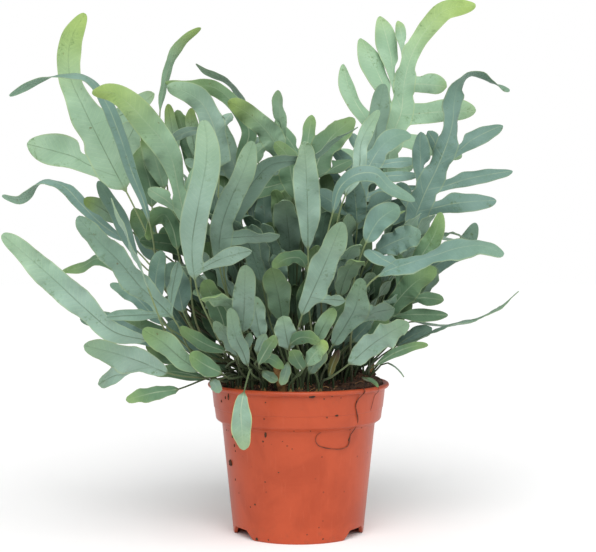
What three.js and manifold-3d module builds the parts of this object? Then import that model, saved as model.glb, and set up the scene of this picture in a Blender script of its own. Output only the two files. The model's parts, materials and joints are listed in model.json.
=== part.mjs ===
// A blue star fern in its nursery pot: a crown of waxy fronds, some simple and some
// lobed, that rise on thin stalks from dark soil in a round terracotta-coloured pot.
// Millimetres, +Z up. The model is laid out round the pot's axis, and the last lines
// move the origin to the middle of the bottom of the whole plant's box.

import * as THREE from 'three';
import { mergeVertices } from 'three/addons/utils/BufferGeometryUtils.js';
import Module from 'manifold-3d';

const wasm = await Module();
wasm.setup();

// ---------------------------------------------------------------- driving dimensions

const POT = {
  height: 99,          // foot to the top of the rolled lip
  lipRadius: 60,       // a 12 cm nursery pot
  bandTopRadius: 57.25,
  bandBottomRadius: 54.75,
  bandBottom: 75.4,    // height where the upper band ends
  grooveHeight: 82.8,  // faint moulding line round the band
  ledgeBottom: 72.4,   // the sloped ledge under the band ends here
  bodyTopRadius: 50.5,
  footRadius: 43,
  wall: 1.2,
  footWall: 1.8,
  baseUnder: 5.4,      // the raised base, seen from below
  baseThick: 1.3,
  sides: 32,
  notchTop: 6,         // three notches between the feet
  notchCount: 3,
  notchWidth: 27,      // at the floor; it narrows upwards at 45 degrees
  drainHoles: 6,
  drainRadius: 3.2,
  drainCircle: 27,
};

const SOIL = {
  gap: 0.35,           // between the soil and the pot's inner wall
  rimHeight: 95.8,     // soil level at the wall
  domeRise: 3.5,       // the middle stands this much higher
  lumps: 1.3,
  sides: 24,
  holeRadius: 1.95,    // a plain hole for each stalk
  holeSides: 4,
  holeDepth: 6,
};

const STALK = {
  footRadius: 0.95,    // stalk radius at the soil
  topRadius: 0.62,     // stalk radius where the blade starts
  depth: 5,            // how far it stands in the soil
  straight: 6,         // upright length above the soil
};

// The stub of rhizome in the soil that joins the stalks of one tuft.
const STUB = {
  between: 0.16,       // between two neighbouring stalks
  round: 0.3,          // of rhizome outside the stalks
  foot: -5.4,          // from the soil's level
  top: -2.6,
  sides: 6,
};

const BLADE = {
  edge: 0.3,           // half the thickness at the margin
  rib: 0.46,           // half the thickness at the midrib
  camber: 0.13,        // how far the margins bend down, as a share of the half-width
  tip: 0.5,            // least half-width near the tip
  reach: 0.988,        // the last row stands this far out, and ends blunt
  ripple: 1.1,         // height of the waves along the margin
  bulge: 0.11,         // how far the outline swells and narrows on its way, as a share
};

const GRID = { columns: 2, stalkStep: 62, bladeStep: 23, lobeStep: 22 };
const SPINE_SAMPLES = 160;
const CLEARANCE = 0.5;       // added all round a frond while its place is tested
const NUDGE = 4;             // one step aside, at the frond's tip
const MAX_NUDGES = 16;
const ROOT_TRIES = 8;       // other stalk holes near the wanted one
const ROOT_PITCH = 5.6;      // least distance between two stalk holes
const HOLE_GAP = 0.9;        // least soil between the corners of two tufts' holes
const ROOT_LIMIT = 49.5;     // stalk holes stay this close to the pot's axis

// The fronds are laid out in a front view: [across, down, depth]. Across and down are
// the view's own units, and depth is in mm, less towards the viewer.
const VIEW = {
  eye: [-0.3, -900, 199],
  focal: 1365,
  centre: [298, 276],
  pitch: THREE.MathUtils.degToRad(1.93),
  stem: [298, 385],    // the middle of the soil
  spread: 1.15,        // depths grow towards the crown's outside, which makes it round
};

const UPPER = [0, -1, 0.35];   // the blade shows its upper side to the front
const UNDER = [0, 1, 0.25];    // the blade shows its underside to the front

// ---------------------------------------------------------------- the fronds
// half: half-width of the blade. wing: half-width of the blade between deep lobes.
// A lobe is [length, half-width, angle from the midrib, bend], left or right of the
// way the frond grows, as the front view shows it. at: its place along the blade.
// late: how much the twist is kept for the tip. columns: of a blade hidden in the crown.

const FRONDS = [
  { node: 'frond_01', tone: 'lime', root: [-18, -5], stalk: [[185, 300, -5]], face: UNDER, half: 8.2, wing: 10,
    blade: [[127, 193, -10], [111, 163], [96, 133], [83, 106], [70, 75], [71, 40], [85, 13, -8]],
    lobes: [{ at: 0.2, left: [43, 10.4, 44, 4], right: [20, 8, 60, 0] },
      { at: 0.37, right: [37, 6.6, 98, -16] }] },
  { node: 'frond_02', tone: 'blue', root: [-25, 5], stalk: [[165, 290, 0]], face: UPPER, half: 4.4, twist: 170,
    late: 2.6,
    blade: [[150, 225, -25], [143, 200], [133, 175], [119, 134], [106, 103], [86, 77], [58, 75.6], [30, 84],
      [9, 96, -30]] },
  { node: 'frond_03', tone: 'lime', root: [-12, -25], stalk: [[205, 340, -25], [188, 240, -28]],
    face: [0, -0.8, 0.6], half: 8, wing: 4.2,
    blade: [[186, 228, -30], [179, 193], [168, 150], [146, 122], [112, 93], [92, 92, -45]],
    lobes: [{ at: 0.14, left: [20, 5, 45, 0], right: [22, 5, 25, 0] }] },
  { node: 'frond_04', tone: 'lime', root: [-16, 20], stalk: [[200, 300, 12], [165, 170, 24]],
    face: [1, -0.7, 0], half: 4.2,
    blade: [[160, 112, 30], [163, 92], [170, 64], [184, 40], [201, 28, 40]] },
  { node: 'frond_05', tone: 'green', root: [-5, 9], stalk: [[240, 330, 9]], face: UPPER, half: 5.3,
    blade: [[243, 200, 12], [243, 156], [249, 132], [240, 112], [213, 87], [184, 86], [165, 82.5, 16]] },
  { node: 'frond_06', tone: 'pale', root: [-3, 22], stalk: [[255, 300, 26]], face: [1, 0.4, 0], half: 3.5,
    blade: [[257, 151, 38], [255, 141], [244, 104], [230, 83], [204, 70.5], [196, 64, 50]] },
  { node: 'frond_07', tone: 'pale', root: [-44, -25], stalk: [[214, 330, -45], [197, 290, -55]], face: UNDER,
    half: 8.3,
    blade: [[195, 280, -58], [192, 249], [199, 201, -66], [206, 163], [207, 140], [204, 120, -54]],
    lobes: [{ at: 0.09, right: [36, 5, 63, 0] }] },
  { node: 'frond_08', tone: 'pale', root: [-20, -10], stalk: [[214, 300, -5], [217, 215, 2]],
    face: [0, -0.8, 0.5], half: 7.4, wing: 7.6,
    blade: [[219, 168, 5], [217, 140], [210, 117], [199, 100], [184, 91], [167, 86, 0]],
    lobes: [{ at: 0.4, left: [25, 3.6, 75, 40], right: [8, 3.5, 60, 0] }] },
  { node: 'frond_09', tone: 'pale', root: [-2, -30], stalk: [[250, 380, -36], [228, 300, -45]], face: UNDER,
    half: 7, blade: [[220, 268, -52], [222, 225, -58], [230, 201], [243, 172, -64], [253, 141, -60]],
    lobes: [{ at: 0.25, right: [30, 6, 80, 0] }] },
  { node: 'frond_10', tone: 'blue', root: [0, -22], stalk: [[248, 340, -40]], face: [0, 0.5, 0.8], half: 4.4,
    wing: 8, twist: 50,
    blade: [[226, 235, -50], [236, 206], [250, 186], [268, 166, -54], [312, 157], [332, 142], [358, 127, -40]],
    lobes: [{ at: 0.36, left: [13, 4.5, 48, 0] }] },
  { node: 'frond_11', tone: 'lime', root: [0, 5], stalk: [[292, 300, 5]], face: UPPER, half: 7,
    blade: [[286, 168, 2], [274, 141], [249, 114], [228, 101, -6]],
    lobes: [{ at: 0.35, left: [16, 5, 100, 0], right: [28, 5, 30, 0] }] },
  { node: 'frond_12', tone: 'green', root: [8, 20], stalk: [[304, 300, 20]], face: UPPER, half: 5,
    blade: [[306, 165, 34], [308, 140], [312, 115, 42]], lobes: [{ at: 0.22, left: [34, 4.6, 42, -12] }] },
  { node: 'frond_13', tone: 'green', root: [12, 0], stalk: [[308, 330, 0]], face: UPPER, half: 9.4,
    blade: [[313, 180, 8], [321, 154], [330, 139], [354, 118, 18]],
    lobes: [{ at: 0.16, right: [19, 5.5, 52, -8] }] },
  { node: 'tuft_09', tone: 'green', root: [5, -10], stalk: [[298, 330, -15]], face: [0, -0.7, 0.7], half: 6,
    blade: [[295, 200, -20], [292, 180], [285, 152], [275, 142, -15]],
    lobes: [{ at: 0.3, left: [27, 6.5, 95, 0], right: [14, 6, 70, 0] }] },
  { node: 'frond_15', tone: 'lime', root: [30, 15], stalk: [[350, 330, 22], [372, 240, 36]], face: UPPER,
    half: 7.2, wing: 5.9,
    blade: [[386, 180, 42], [390, 150], [394, 132], [401, 113], [404, 85], [411, 57], [430, 25], [443, 11],
      [476, 5, 44]],
    lobes: [{ at: 0.07, left: [32, 7, 75, 0], right: [13, 6.5, 80, 0] },
      { at: 0.2, left: [66, 6.4, 64, -48], right: [45, 7.8, 86, 14] },
      { at: 0.33, left: [63, 8.6, 34, -2], right: [48, 8.6, 74, 0] },
      { at: 0.46, left: [58, 7.6, 21, 0], right: [25, 7.4, 82, 0] },
      { at: 0.6, left: [26, 3.8, 31, 0] }] },
  { node: 'frond_16', tone: 'blue', root: [38, -8], stalk: [[380, 300, 0]], face: UPPER, half: 6.6, wing: 6.4,
    twist: 165, late: 3.2,
    blade: [[408, 236, 5], [426, 191], [438, 166], [453, 119], [454, 103], [459, 84], [472, 75], [488, 81],
      [510, 91, 10]],
    lobes: [{ at: 0.15, left: [15, 5, 60, 0], right: [45, 6.8, 58, 8] },
      { at: 0.27, left: [30, 6.4, 36, -14], right: [50, 5.4, 48, 6] },
      { at: 0.43, left: [11, 4, 54, 0], right: [38, 6, 34, 16] }] },
  { node: 'frond_17', tone: 'blue', root: [22, 5], stalk: [[345, 330, 5]], face: UNDER, half: 7.8, twist: 0,
    blade: [[368, 200, 20], [372, 172], [378, 115], [384, 84, 34]] },
  { node: 'frond_18', tone: 'pale', root: [20, -18], stalk: [[330, 300, -25]], face: UNDER, half: 4.6,
    blade: [[345, 196, -28], [359, 168], [361, 143.5], [379, 110, -22]] },
  { node: 'frond_19', tone: 'blue', root: [22, -25], stalk: [[322, 320, -35]], face: [0, -0.7, 0.7],
    half: 4.8, blade: [[333, 212, -45], [342, 185], [358, 174], [376, 174], [388, 186], [415, 201, -42]] },
  { node: 'frond_20', tone: 'blue', root: [25, -12], stalk: [[345, 300, -18]], face: UPPER, half: 6,
    blade: [[357, 225, -22], [356, 205], [352, 172, -22]],
    lobes: [{ at: 0.25, left: [25, 6, 55, 0], right: [20, 7, 70, 0] }] },
  { node: 'frond_21', tone: 'blue', root: [28, -22], stalk: [[350, 300, -35]], face: UPPER, half: 7.5,
    blade: [[366, 243, -42], [380, 219], [399, 206, -42]] },
  { node: 'frond_22', tone: 'blue', root: [30, -8], stalk: [[352, 330, -22]], face: UPPER, half: 8,
    blade: [[376, 252, -34], [399, 240], [421, 232.5, -36]] },
  { node: 'frond_23', tone: 'green', root: [34, -15], stalk: [[370, 340, -20]], face: UPPER, half: 5.5,
    blade: [[405, 290, -25], [418, 262], [436, 231], [441, 212, -25]],
    lobes: [{ at: 0.6, right: [16, 3.5, 60, 0] }] },
  { node: 'frond_24', tone: 'blue', root: [36, 5], stalk: [[385, 330, 15]], face: UPPER, half: 6.4, twist: 0,
    blade: [[415, 282, 30], [437, 265], [461, 250], [476, 223, 44]] },
  { node: 'frond_25', tone: 'blue', root: [34, -30], stalk: [[352, 330, -45]], face: [0, -0.6, 0.8],
    half: 8.6, blade: [[378, 276, -60], [408, 264], [434, 256], [459, 248], [483, 246], [504, 255, -60]],
    lobes: [{ at: 0.12, left: [29, 6.6, 118, 0] }] },
  { node: 'frond_26', tone: 'pale', root: [12, -38], stalk: [[297, 345, -48]], face: UNDER, half: 8,
    blade: [[302, 315, -58], [311, 295], [330, 252], [342, 222, -66]],
    lobes: [{ at: 0.25, right: [14, 4, 70, 0] }] },
  { node: 'frond_27', tone: 'pale', root: [22, -38], stalk: [[325, 360, -50]], face: UNDER, half: 6.6,
    blade: [[333, 345, -55], [345, 326], [355, 308], [361, 278, -58]],
    lobes: [{ at: 0.58, right: [18, 6.4, 54, 0] }] },
  { node: 'tuft_01', tone: 'pale', root: [13, -45], stalk: [[330, 378, -56]], face: UNDER, half: 7.6,
    blade: [[349, 364, -70], [375, 342], [392, 331], [408, 322, -75]] },
  { node: 'tuft_01', tone: 'green', stalk: [[310, 360, -53]], face: UNDER, half: 4.8,
    blade: [[316, 342, -58], [322, 329], [334, 308, -58]] },
  { node: 'tuft_02', tone: 'green', root: [44, -18], stalk: [], face: UPPER, half: 3,
    blade: [[376, 365, -35], [399, 351], [415, 346], [428, 345, -40]] },
  { node: 'tuft_02', tone: 'pale', stalk: [[395, 350, -14]], face: [0, 0, 1], half: 3.5,
    blade: [[403, 345, -12], [420, 338], [445, 326], [478, 318], [497, 309], [519, 291, -12]] },
  { node: 'frond_28', tone: 'pale', root: [46, 0], stalk: [], face: [0, 0.3, 1], half: 3.4,
    blade: [[410, 322, 14], [439, 325], [459, 324], [487, 315], [500, 306, 34]] },
  { node: 'frond_29', tone: 'green', root: [36, -22], stalk: [[360, 360, -25]], face: UPPER, half: 6.6,
    blade: [[385, 318, -32], [398, 300], [411, 286], [436, 268, -32]],
    lobes: [{ at: 0.13, right: [33, 4.3, 56, 0] },
      { at: 0.52, left: [18, 4.5, 52, 0], right: [18, 4.5, 52, 0] }] },
  { node: 'frond_30', tone: 'pale', root: [-48, -10], stalk: [[215, 372, -15], [180, 352, -20]],
    face: [0, 1, 0.2], half: 8.4,
    blade: [[150, 341, -25], [115, 332], [86, 309], [57, 282], [29, 257], [2, 234, -30]] },
  { node: 'frond_31', tone: 'blue', root: [-47, 12], stalk: [[196, 362, -2]], face: UPPER, half: 6.5,
    blade: [[160, 345, -8], [132, 334], [105, 322], [80, 318, -6]] },
  { node: 'frond_32', tone: 'blue', root: [-38, -18], stalk: [[205, 370, -30], [189, 349, -40]], face: UNDER,
    half: 8, blade: [[173, 318, -48], [162, 306], [142, 288], [119, 261], [96, 238], [78, 216, -50]],
    lobes: [{ at: 0.1, left: [32, 3.8, 53, 0], right: [29, 4, 53, 0] }] },
  { node: 'frond_33', tone: 'blue', root: [-40, 8], stalk: [[200, 340, 5], [150, 265, 5]], face: UPPER,
    half: 5, twist: 150, late: 3,
    blade: [[128, 243, 14], [101, 224], [82, 205], [63, 186], [44, 180], [20, 199], [2, 196, 30]] },
  { node: 'tuft_03', tone: 'green', root: [-46, 4], stalk: [[190, 350, 8]], face: UPPER, half: 4.5,
    blade: [[130, 280, 18], [96, 259], [82, 267], [62, 271, 30]] },
  { node: 'tuft_03', tone: 'blue', stalk: [], face: UPPER, half: 4.5,
    blade: [[165, 325, -15], [150, 312], [134, 296], [110, 284, -18]] },
  { node: 'frond_34', tone: 'pale', root: [-34, -8], stalk: [[195, 360, -22]], face: [1, 0.4, 0.2],
    half: 3.8, blade: [[149, 290, -60], [140, 265], [126, 232], [112, 198, -55]] },
  { node: 'tuft_04', tone: 'pale', root: [-40, -29], stalk: [[205, 378, -48]], face: UNDER, half: 8,
    blade: [[168, 373, -62], [143.5, 362.6], [115, 353], [84, 345, -70]],
    lobes: [{ at: 0.45, left: [18, 5.5, 35, 0] }] },
  { node: 'tuft_04', tone: 'green', stalk: [[212, 378, -46]], face: UNDER, half: 6.8,
    blade: [[200, 371, -50], [182, 359], [163, 342], [143, 329, -52]] },
  { node: 'frond_35', tone: 'green', root: [-47, -19], stalk: [[205, 379, -30], [190, 385, -36]],
    face: UPPER, half: 4.8, blade: [[179, 389, -40], [153, 393], [126, 400, -46]] },
  { node: 'frond_36', tone: 'lime', root: [-30, -40], stalk: [[250, 370, -53], [247, 380, -63]], face: UPPER,
    half: 6, blade: [[244, 392, -68], [241, 410, -70], [242, 430, -69], [244, 450, -66]] },
  { node: 'tuft_05', tone: 'pale', root: [-25, -45], stalk: [[252, 374, -50]], face: UNDER, half: 4.7,
    blade: [[248, 366, -52], [243, 352], [237, 340], [230, 308, -62]] },
  { node: 'tuft_05', tone: 'green', stalk: [], face: UPPER, half: 3.4,
    blade: [[258, 360, -56], [268, 358], [284, 368, -60]] },
  { node: 'frond_37', tone: 'green', root: [-38, -35], stalk: [[228, 378, -42]], face: UPPER, half: 6.2,
    blade: [[222, 373, -48], [208, 366], [190, 354, -52]] },
  { node: 'frond_38', tone: 'pale', root: [-10, -22], stalk: [[240, 365, -35]], face: UNDER, half: 7,
    blade: [[243, 332, -45], [245, 310], [246, 290], [247, 264, -50]] },
  { node: 'frond_39', tone: 'blue', root: [-5, -15], stalk: [[272, 350, -25]], face: UNDER, half: 6.5,
    blade: [[274, 303, -32], [276, 285], [278, 268], [280, 248, -32]] },
  { node: 'frond_40', tone: 'green', root: [5, -30], stalk: [[300, 330, -45]], face: UPPER, half: 4.5,
    blade: [[306, 268, -55], [300, 258], [288, 258], [272, 267, -60]] },
  { node: 'tuft_06', tone: 'green', root: [-24, 2], stalk: [[195, 330, 0]], face: UPPER, half: 6,
    blade: [[178, 250, -12], [172, 225], [165, 214], [155, 222], [150, 240, -14]] },
  { node: 'tuft_06', tone: 'blue', stalk: [[190, 320, 14]], face: UPPER, half: 8,
    blade: [[160, 262, 24], [150, 245], [143, 228], [146, 208, 34]] },
  { node: 'tuft_10', tone: 'blue', root: [-30, -20], stalk: [[190, 350, -40]], face: UPPER, half: 5.5,
    blade: [[156, 308, -50], [153, 286], [158, 251, -52]] },
  { node: 'tuft_07', tone: 'green', root: [1, -42], stalk: [], face: UPPER, half: 4.4,
    blade: [[290, 345, -55], [302, 337], [320, 341, -66]] },
  { node: 'tuft_07', tone: 'pale', stalk: [], face: UNDER, half: 6.5,
    blade: [[289, 350, -52], [286, 334], [283, 316, -58]] },
  { node: 'tuft_08', tone: 'lime', root: [6, -47], stalk: [], face: UPPER, half: 5,
    blade: [[306, 366, -58], [314, 354], [327, 342, -62]] },
  { node: 'tuft_08', tone: 'green', stalk: [], face: UPPER, half: 4.5,
    blade: [[303, 370, -60], [298, 362], [292, 350, -66]] },
  { node: 'frond_14', tone: 'green', root: [-15, -34], stalk: [], face: UPPER, half: 3.8,
    blade: [[259, 364, -54], [266, 350], [276, 334, -60]] },
  { node: 'tuft_06', tone: 'green', stalk: [[190, 318, 12]], face: UPPER, half: 9,
    blade: [[152, 207, 16], [150, 185], [144, 165], [139, 141, 24]] },
  { node: 'tuft_06', tone: 'green', stalk: [[204, 300, 16]], face: UPPER, half: 7,
    blade: [[197, 180, 28], [193, 157], [187, 136], [181, 114, 36]] },
  { node: 'tuft_06', tone: 'lime', stalk: [[192, 310, 10]], face: UPPER, half: 7.2,
    blade: [[166, 190, 22], [160, 168], [155, 148], [150, 130, 30]] },
  { node: 'tuft_10', tone: 'blue', stalk: [[205, 345, -25]], face: UPPER, half: 8,
    blade: [[184, 312, -28], [181, 296], [177, 280], [172, 262, -32]] },
  { node: 'tuft_10', tone: 'green', stalk: [[225, 360, -20]], face: UPPER, half: 7,
    blade: [[226, 335, -24], [222, 318], [214, 300], [204, 280, -28]] },
  { node: 'tuft_10', tone: 'pale', stalk: [[226, 366, -30]], face: UNDER, half: 5.5,
    blade: [[238, 356, -36], [233, 343], [226, 331], [217, 319, -40]] },
  { node: 'tuft_09', tone: 'blue', stalk: [[300, 310, -14]], face: UPPER, half: 7.5,
    blade: [[302, 240, -14], [306, 220], [310, 200], [314, 178, -8]] },
  { node: 'tuft_09', tone: 'green', stalk: [[306, 330, -5]], face: UPPER, half: 7,
    blade: [[318, 262, 0], [322, 244], [328, 226], [334, 206, 6]] },
  { node: 'tuft_02', tone: 'green', stalk: [[362, 350, -14]], face: UPPER, half: 8,
    blade: [[352, 322, -10], [346, 300], [342, 278], [339, 256, 0]] },
  { node: 'tuft_02', tone: 'pale', stalk: [[392, 340, 6]], face: UNDER, half: 6.5,
    blade: [[412, 304, 16], [420, 290], [429, 278], [435, 266, 24]] },
  { node: 'tuft_07', tone: 'pale', stalk: [[280, 365, -46]], face: UNDER, half: 6,
    blade: [[262, 340, -48], [258, 325], [256, 312], [253, 296, -50]] },
  { node: 'tuft_03', tone: 'green', stalk: [[196, 358, 0]], face: UPPER, half: 7,
    blade: [[184, 348, 2], [164, 338], [140, 327], [117, 314, 8]] },
];

const TONES = {
  blue: '#7d9f95', green: '#6f9374', lime: '#9fbf8b', pale: '#9db7ab',
};

// Tufts of the back, by rule: [turn round the pot from +X in degrees, how far out the
// tip reaches, how high the top is above the soil, how far it bows over in degrees,
// pairs of lobes]. Each holds a second, simple frond that is lower and leans further.
const BACK = [
  [80, 92, 160, 94, 3], [106, 78, 172, 84, 2], [134, 96, 104, 104, 2], [48, 108, 122, 104, 2],
  [26, 122, 92, 110, 2], [94, 136, 98, 114, 3], [64, 136, 66, 120, 2], [122, 138, 64, 122, 2],
];
const BACK_LOW = 110;        // lower tufts than this grow near the pot's wall
const COMPANION = { turn: 21, reach: 0.86, height: 0.55, bow: 16 };

// Short simple fronds fill the crown. Each tuft has up to this many, drawn in these ranges,
// and a tuft with more fronds of its own has fewer.
const INNER = { most: 2, inAll: 6, out: [18, 62], height: [48, 150], bow: [55, 100], turn: 90 };

// ---------------------------------------------------------------- small helpers

// A repeatable stream of draws from 0 to 1.
function draws(seed) {
  let state = seed >>> 0;
  return () => {
    state = (state + 0x6d2b79f5) >>> 0;
    let t = state;
    t = Math.imul(t ^ (t >>> 15), t | 1);
    t ^= t + Math.imul(t ^ (t >>> 7), t | 61);
    return ((t ^ (t >>> 14)) >>> 0) / 4294967296;
  };
}

const clamp = THREE.MathUtils.clamp;
const rad = THREE.MathUtils.degToRad;
const smooth = (x) => { const c = clamp(x, 0, 1); return c * c * (3 - 2 * c); };
const vec = (a) => new THREE.Vector3(a[0], a[1], a[2]);

// A point of the front view, at its real place.
function place([across, down, middleDepth]) {
  const outward = Math.hypot(across - VIEW.stem[0], down - VIEW.stem[1]) / VIEW.stem[1];
  const depth = middleDepth * (1 + VIEW.spread * Math.min(1, outward));
  const a = (across - VIEW.centre[0]) / VIEW.focal;
  const b = (VIEW.centre[1] - down) / VIEW.focal;
  const far = (depth - VIEW.eye[1]) / (Math.cos(VIEW.pitch) + b * Math.sin(VIEW.pitch));
  const up = b * Math.cos(VIEW.pitch) - Math.sin(VIEW.pitch);
  return new THREE.Vector3(VIEW.eye[0] + a * far, depth, VIEW.eye[2] + up * far);
}

// Depths left out in a list of view points lie evenly between the given ones.
function fillDepths(points) {
  const known = points.map((p, i) => (p.length > 2 ? i : -1)).filter((i) => i >= 0);
  return points.map((p, i) => {
    if (p.length > 2) return p;
    const after = known.find((k) => k > i);
    const before = known.filter((k) => k < i).at(-1);
    const share = (i - before) / (after - before);
    return [p[0], p[1], points[before][2] * (1 - share) + points[after][2] * share];
  });
}

// Soil level at a place: a low dome with lumps.
function soilLevel(x, y) {
  const r = Math.hypot(x, y) / POT.bandTopRadius;
  const lump = Math.sin(x * 0.19 + 1.3) * Math.cos(y * 0.23) + 0.6 * Math.sin((x + y) * 0.41);
  return SOIL.rimHeight + SOIL.domeRise * (1 - r * r) + SOIL.lumps * 0.5 * lump * (1 - r ** 6);
}

// A solid for joining and cutting, from a three.js geometry.
function solidOf(geometry) {
  const bare = geometry.clone();
  for (const name of Object.keys(bare.attributes)) {
    if (name !== 'position') bare.deleteAttribute(name);
  }
  const merged = mergeVertices(bare, 1e-4);
  const p = merged.attributes.position;
  const all = merged.index.array;
  const kept = [];
  let volume = 0;
  const [a, b, c] = [new THREE.Vector3(), new THREE.Vector3(), new THREE.Vector3()];
  for (let i = 0; i < all.length; i += 3) {
    const [i0, i1, i2] = [all[i], all[i + 1], all[i + 2]];
    if (i0 === i1 || i1 === i2 || i2 === i0) continue;
    kept.push(i0, i1, i2);
    a.fromBufferAttribute(p, i0);
    b.fromBufferAttribute(p, i1);
    c.fromBufferAttribute(p, i2);
    volume += a.dot(b.cross(c));
  }
  if (volume < 0) {
    for (let i = 0; i < kept.length; i += 3) [kept[i], kept[i + 1]] = [kept[i + 1], kept[i]];
  }
  const mesh = new wasm.Mesh({
    numProp: 3, vertProperties: Float32Array.from(p.array), triVerts: Uint32Array.from(kept),
  });
  return new wasm.Manifold(mesh);
}

function geometryOf(solid) {
  const mesh = solid.getMesh();
  const geometry = new THREE.BufferGeometry();
  geometry.setAttribute('position', new THREE.BufferAttribute(Float32Array.from(mesh.vertProperties), 3));
  geometry.setIndex(Array.from(mesh.triVerts));
  return geometry;
}

function latheSolid(profile, sides) {
  const points = profile.map(([r, z]) => new THREE.Vector2(r, z));
  const lathe = new THREE.LatheGeometry(points, sides);
  lathe.rotateX(Math.PI / 2);
  return lathe;
}

// ---------------------------------------------------------------- a frond's spine

// A smooth curve through the points, with its length, way and upper side at each sample.
function makeSpine(points, baseIndex, face, twist, late) {
  const knots = [0];
  for (let i = 1; i < points.length; i++) knots.push(knots[i - 1] + points[i].distanceTo(points[i - 1]));
  const slope = (i) => {
    const after = i < points.length - 1
      ? points[i + 1].clone().sub(points[i]).divideScalar(knots[i + 1] - knots[i]) : null;
    const before = i > 0
      ? points[i].clone().sub(points[i - 1]).divideScalar(knots[i] - knots[i - 1]) : null;
    if (!after || !before) return after || before;
    const [ha, hb] = [knots[i + 1] - knots[i], knots[i] - knots[i - 1]];
    return after.multiplyScalar(hb).add(before.multiplyScalar(ha)).divideScalar(ha + hb);
  };
  const slopes = points.map((_, i) => slope(i));
  const total = knots.at(-1);
  const at = [];
  for (let s = 0; s <= SPINE_SAMPLES; s++) {
    const t = (total * s) / SPINE_SAMPLES;
    let i = 0;
    while (i < points.length - 2 && knots[i + 1] < t) i++;
    const h = knots[i + 1] - knots[i];
    const u = (t - knots[i]) / h;
    const [u2, u3] = [u * u, u * u * u];
    at.push(points[i].clone().multiplyScalar(2 * u3 - 3 * u2 + 1)
      .addScaledVector(slopes[i], (u3 - 2 * u2 + u) * h)
      .addScaledVector(points[i + 1], 3 * u2 - 2 * u3)
      .addScaledVector(slopes[i + 1], (u3 - u2) * h));
  }
  const length = [0];
  for (let s = 1; s < at.length; s++) length.push(length[s - 1] + at[s].distanceTo(at[s - 1]));
  const way = at.map((_, s) => at[Math.min(s + 1, SPINE_SAMPLES)].clone()
    .sub(at[Math.max(s - 1, 0)]).normalize());
  const base = Math.round((SPINE_SAMPLES * knots[baseIndex]) / total);
  const square = (n, t) => n.clone().addScaledVector(t, -n.dot(t)).normalize();
  const up = new Array(at.length);
  up[base] = square(vec(face), way[base]);
  for (let s = base + 1; s < at.length; s++) up[s] = square(up[s - 1], way[s]);
  for (let s = base - 1; s >= 0; s--) up[s] = square(up[s + 1], way[s]);
  const start = length[base];
  const end = length.at(-1);
  const frameAt = (d) => {
    const dist = clamp(d, 0, end);
    let s = 0;
    let high = SPINE_SAMPLES;
    while (high - s > 1) {
      const mid = (s + high) >> 1;
      if (length[mid] <= dist) s = mid; else high = mid;
    }
    const f = (dist - length[s]) / (length[s + 1] - length[s]);
    const point = at[s].clone().lerp(at[s + 1], f);
    const T = way[s].clone().lerp(way[s + 1], f).normalize();
    const turn = rad(twist) * clamp((dist - start) / (end - start), 0, 1) ** late;
    const N = square(up[s].clone().lerp(up[s + 1], f), T).applyAxisAngle(T, turn);
    return { point, T, N, B: T.clone().cross(N) };
  };
  return { start, end, frameAt };
}

// ---------------------------------------------------------------- a frond's outline

const BLADE_RISE = 0.55;
const BLADE_FALL = 0.44;
// droop, roll and swell: how far single lobes differ from each other
const LOBE = { rise: 0.8, fall: 0.5, lead: 0.35, droop: 1.2, roll: 42, swell: 0.14 };

// Half-width of a simple blade, as a share: up from the stalk, widest about the middle.
function bladeShare(v) {
  const widest = BLADE_RISE / (BLADE_RISE + BLADE_FALL);
  return (v / widest) ** BLADE_RISE * ((1 - v) / (1 - widest)) ** BLADE_FALL;
}

// Half-width of a lobe, as a share: broad where it starts, with a blunt tip.
function lobeShare(u) {
  const widest = (LOBE.rise - LOBE.fall * LOBE.lead) / (LOBE.rise + LOBE.fall);
  return ((u + LOBE.lead) / (widest + LOBE.lead)) ** LOBE.rise * ((1 - u) / (1 - widest)) ** LOBE.fall;
}

// Half-width along one side of the blade, v from 0 at the stalk to 1 at the tip.
function halfWidth(frond, v, side) {
  let width = frond.half * bladeShare(Math.min(v, 1));
  if (frond.wing) {
    const between = frond.wing * Math.min(1, v / 0.07) ** 0.6;
    const u = clamp((v - frond.lastLobe) / (1 - frond.lastLobe), 0, 1);
    width = THREE.MathUtils.lerp(between, frond.half * lobeShare(u), smooth(u / 0.3));
  }
  const swell = 1 + BLADE.bulge * Math.sin(2 * Math.PI * 0.55 * frond.waves * v + frond.phase + 2.1 * side);
  return Math.max(width * swell, BLADE.tip);
}

// ---------------------------------------------------------------- a frond's mesh

// Where the rows of the main blade lie, and which rows each pair of lobes grows from.
function makeRows(frond, spine) {
  const { start, end } = spine;
  const blade = end - start;
  const rows = [0];
  const straight = STALK.depth + STALK.straight;
  const steps = Math.max(1, Math.round((start - straight) / GRID.stalkStep));
  for (let i = 0; i < steps; i++) rows.push(straight + ((start - straight) * i) / steps);
  rows.push(start);
  const spans = [];
  let from = start;
  const places = [0, ...frond.lobes.map(({ at }) => at * blade)];
  for (const [i, pair] of frond.lobes.entries()) {
    const widest = Math.max(pair.left?.[1] ?? 0, pair.right?.[1] ?? 0);
    const room = Math.min(places[i + 1] - places[i], (places[i + 2] ?? blade) - places[i + 1]);
    const reach = Math.min(0.8 * widest, room / 2 - 0.8);
    const centre = start + places[i + 1];
    const free = Math.max(1, Math.round((centre - reach - from) / GRID.bladeStep));
    for (let i = 1; i <= free; i++) rows.push(from + ((centre - reach - from) * i) / free);
    const first = rows.length - 1;
    for (let i = 1; i <= frond.columns; i++) rows.push(centre - reach + (2 * reach * i) / frond.columns);
    spans.push({ pair, first, centre });
    from = centre + reach;
  }
  const last = Math.max(2 + frond.columns, Math.round((end - from) / GRID.bladeStep));
  for (let i = 1; i <= last; i++) {
    rows.push(from + (start + blade * BLADE.reach - from) * (1 - (1 - i / last) ** 1.25));
  }
  return { rows, spans };
}

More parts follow.
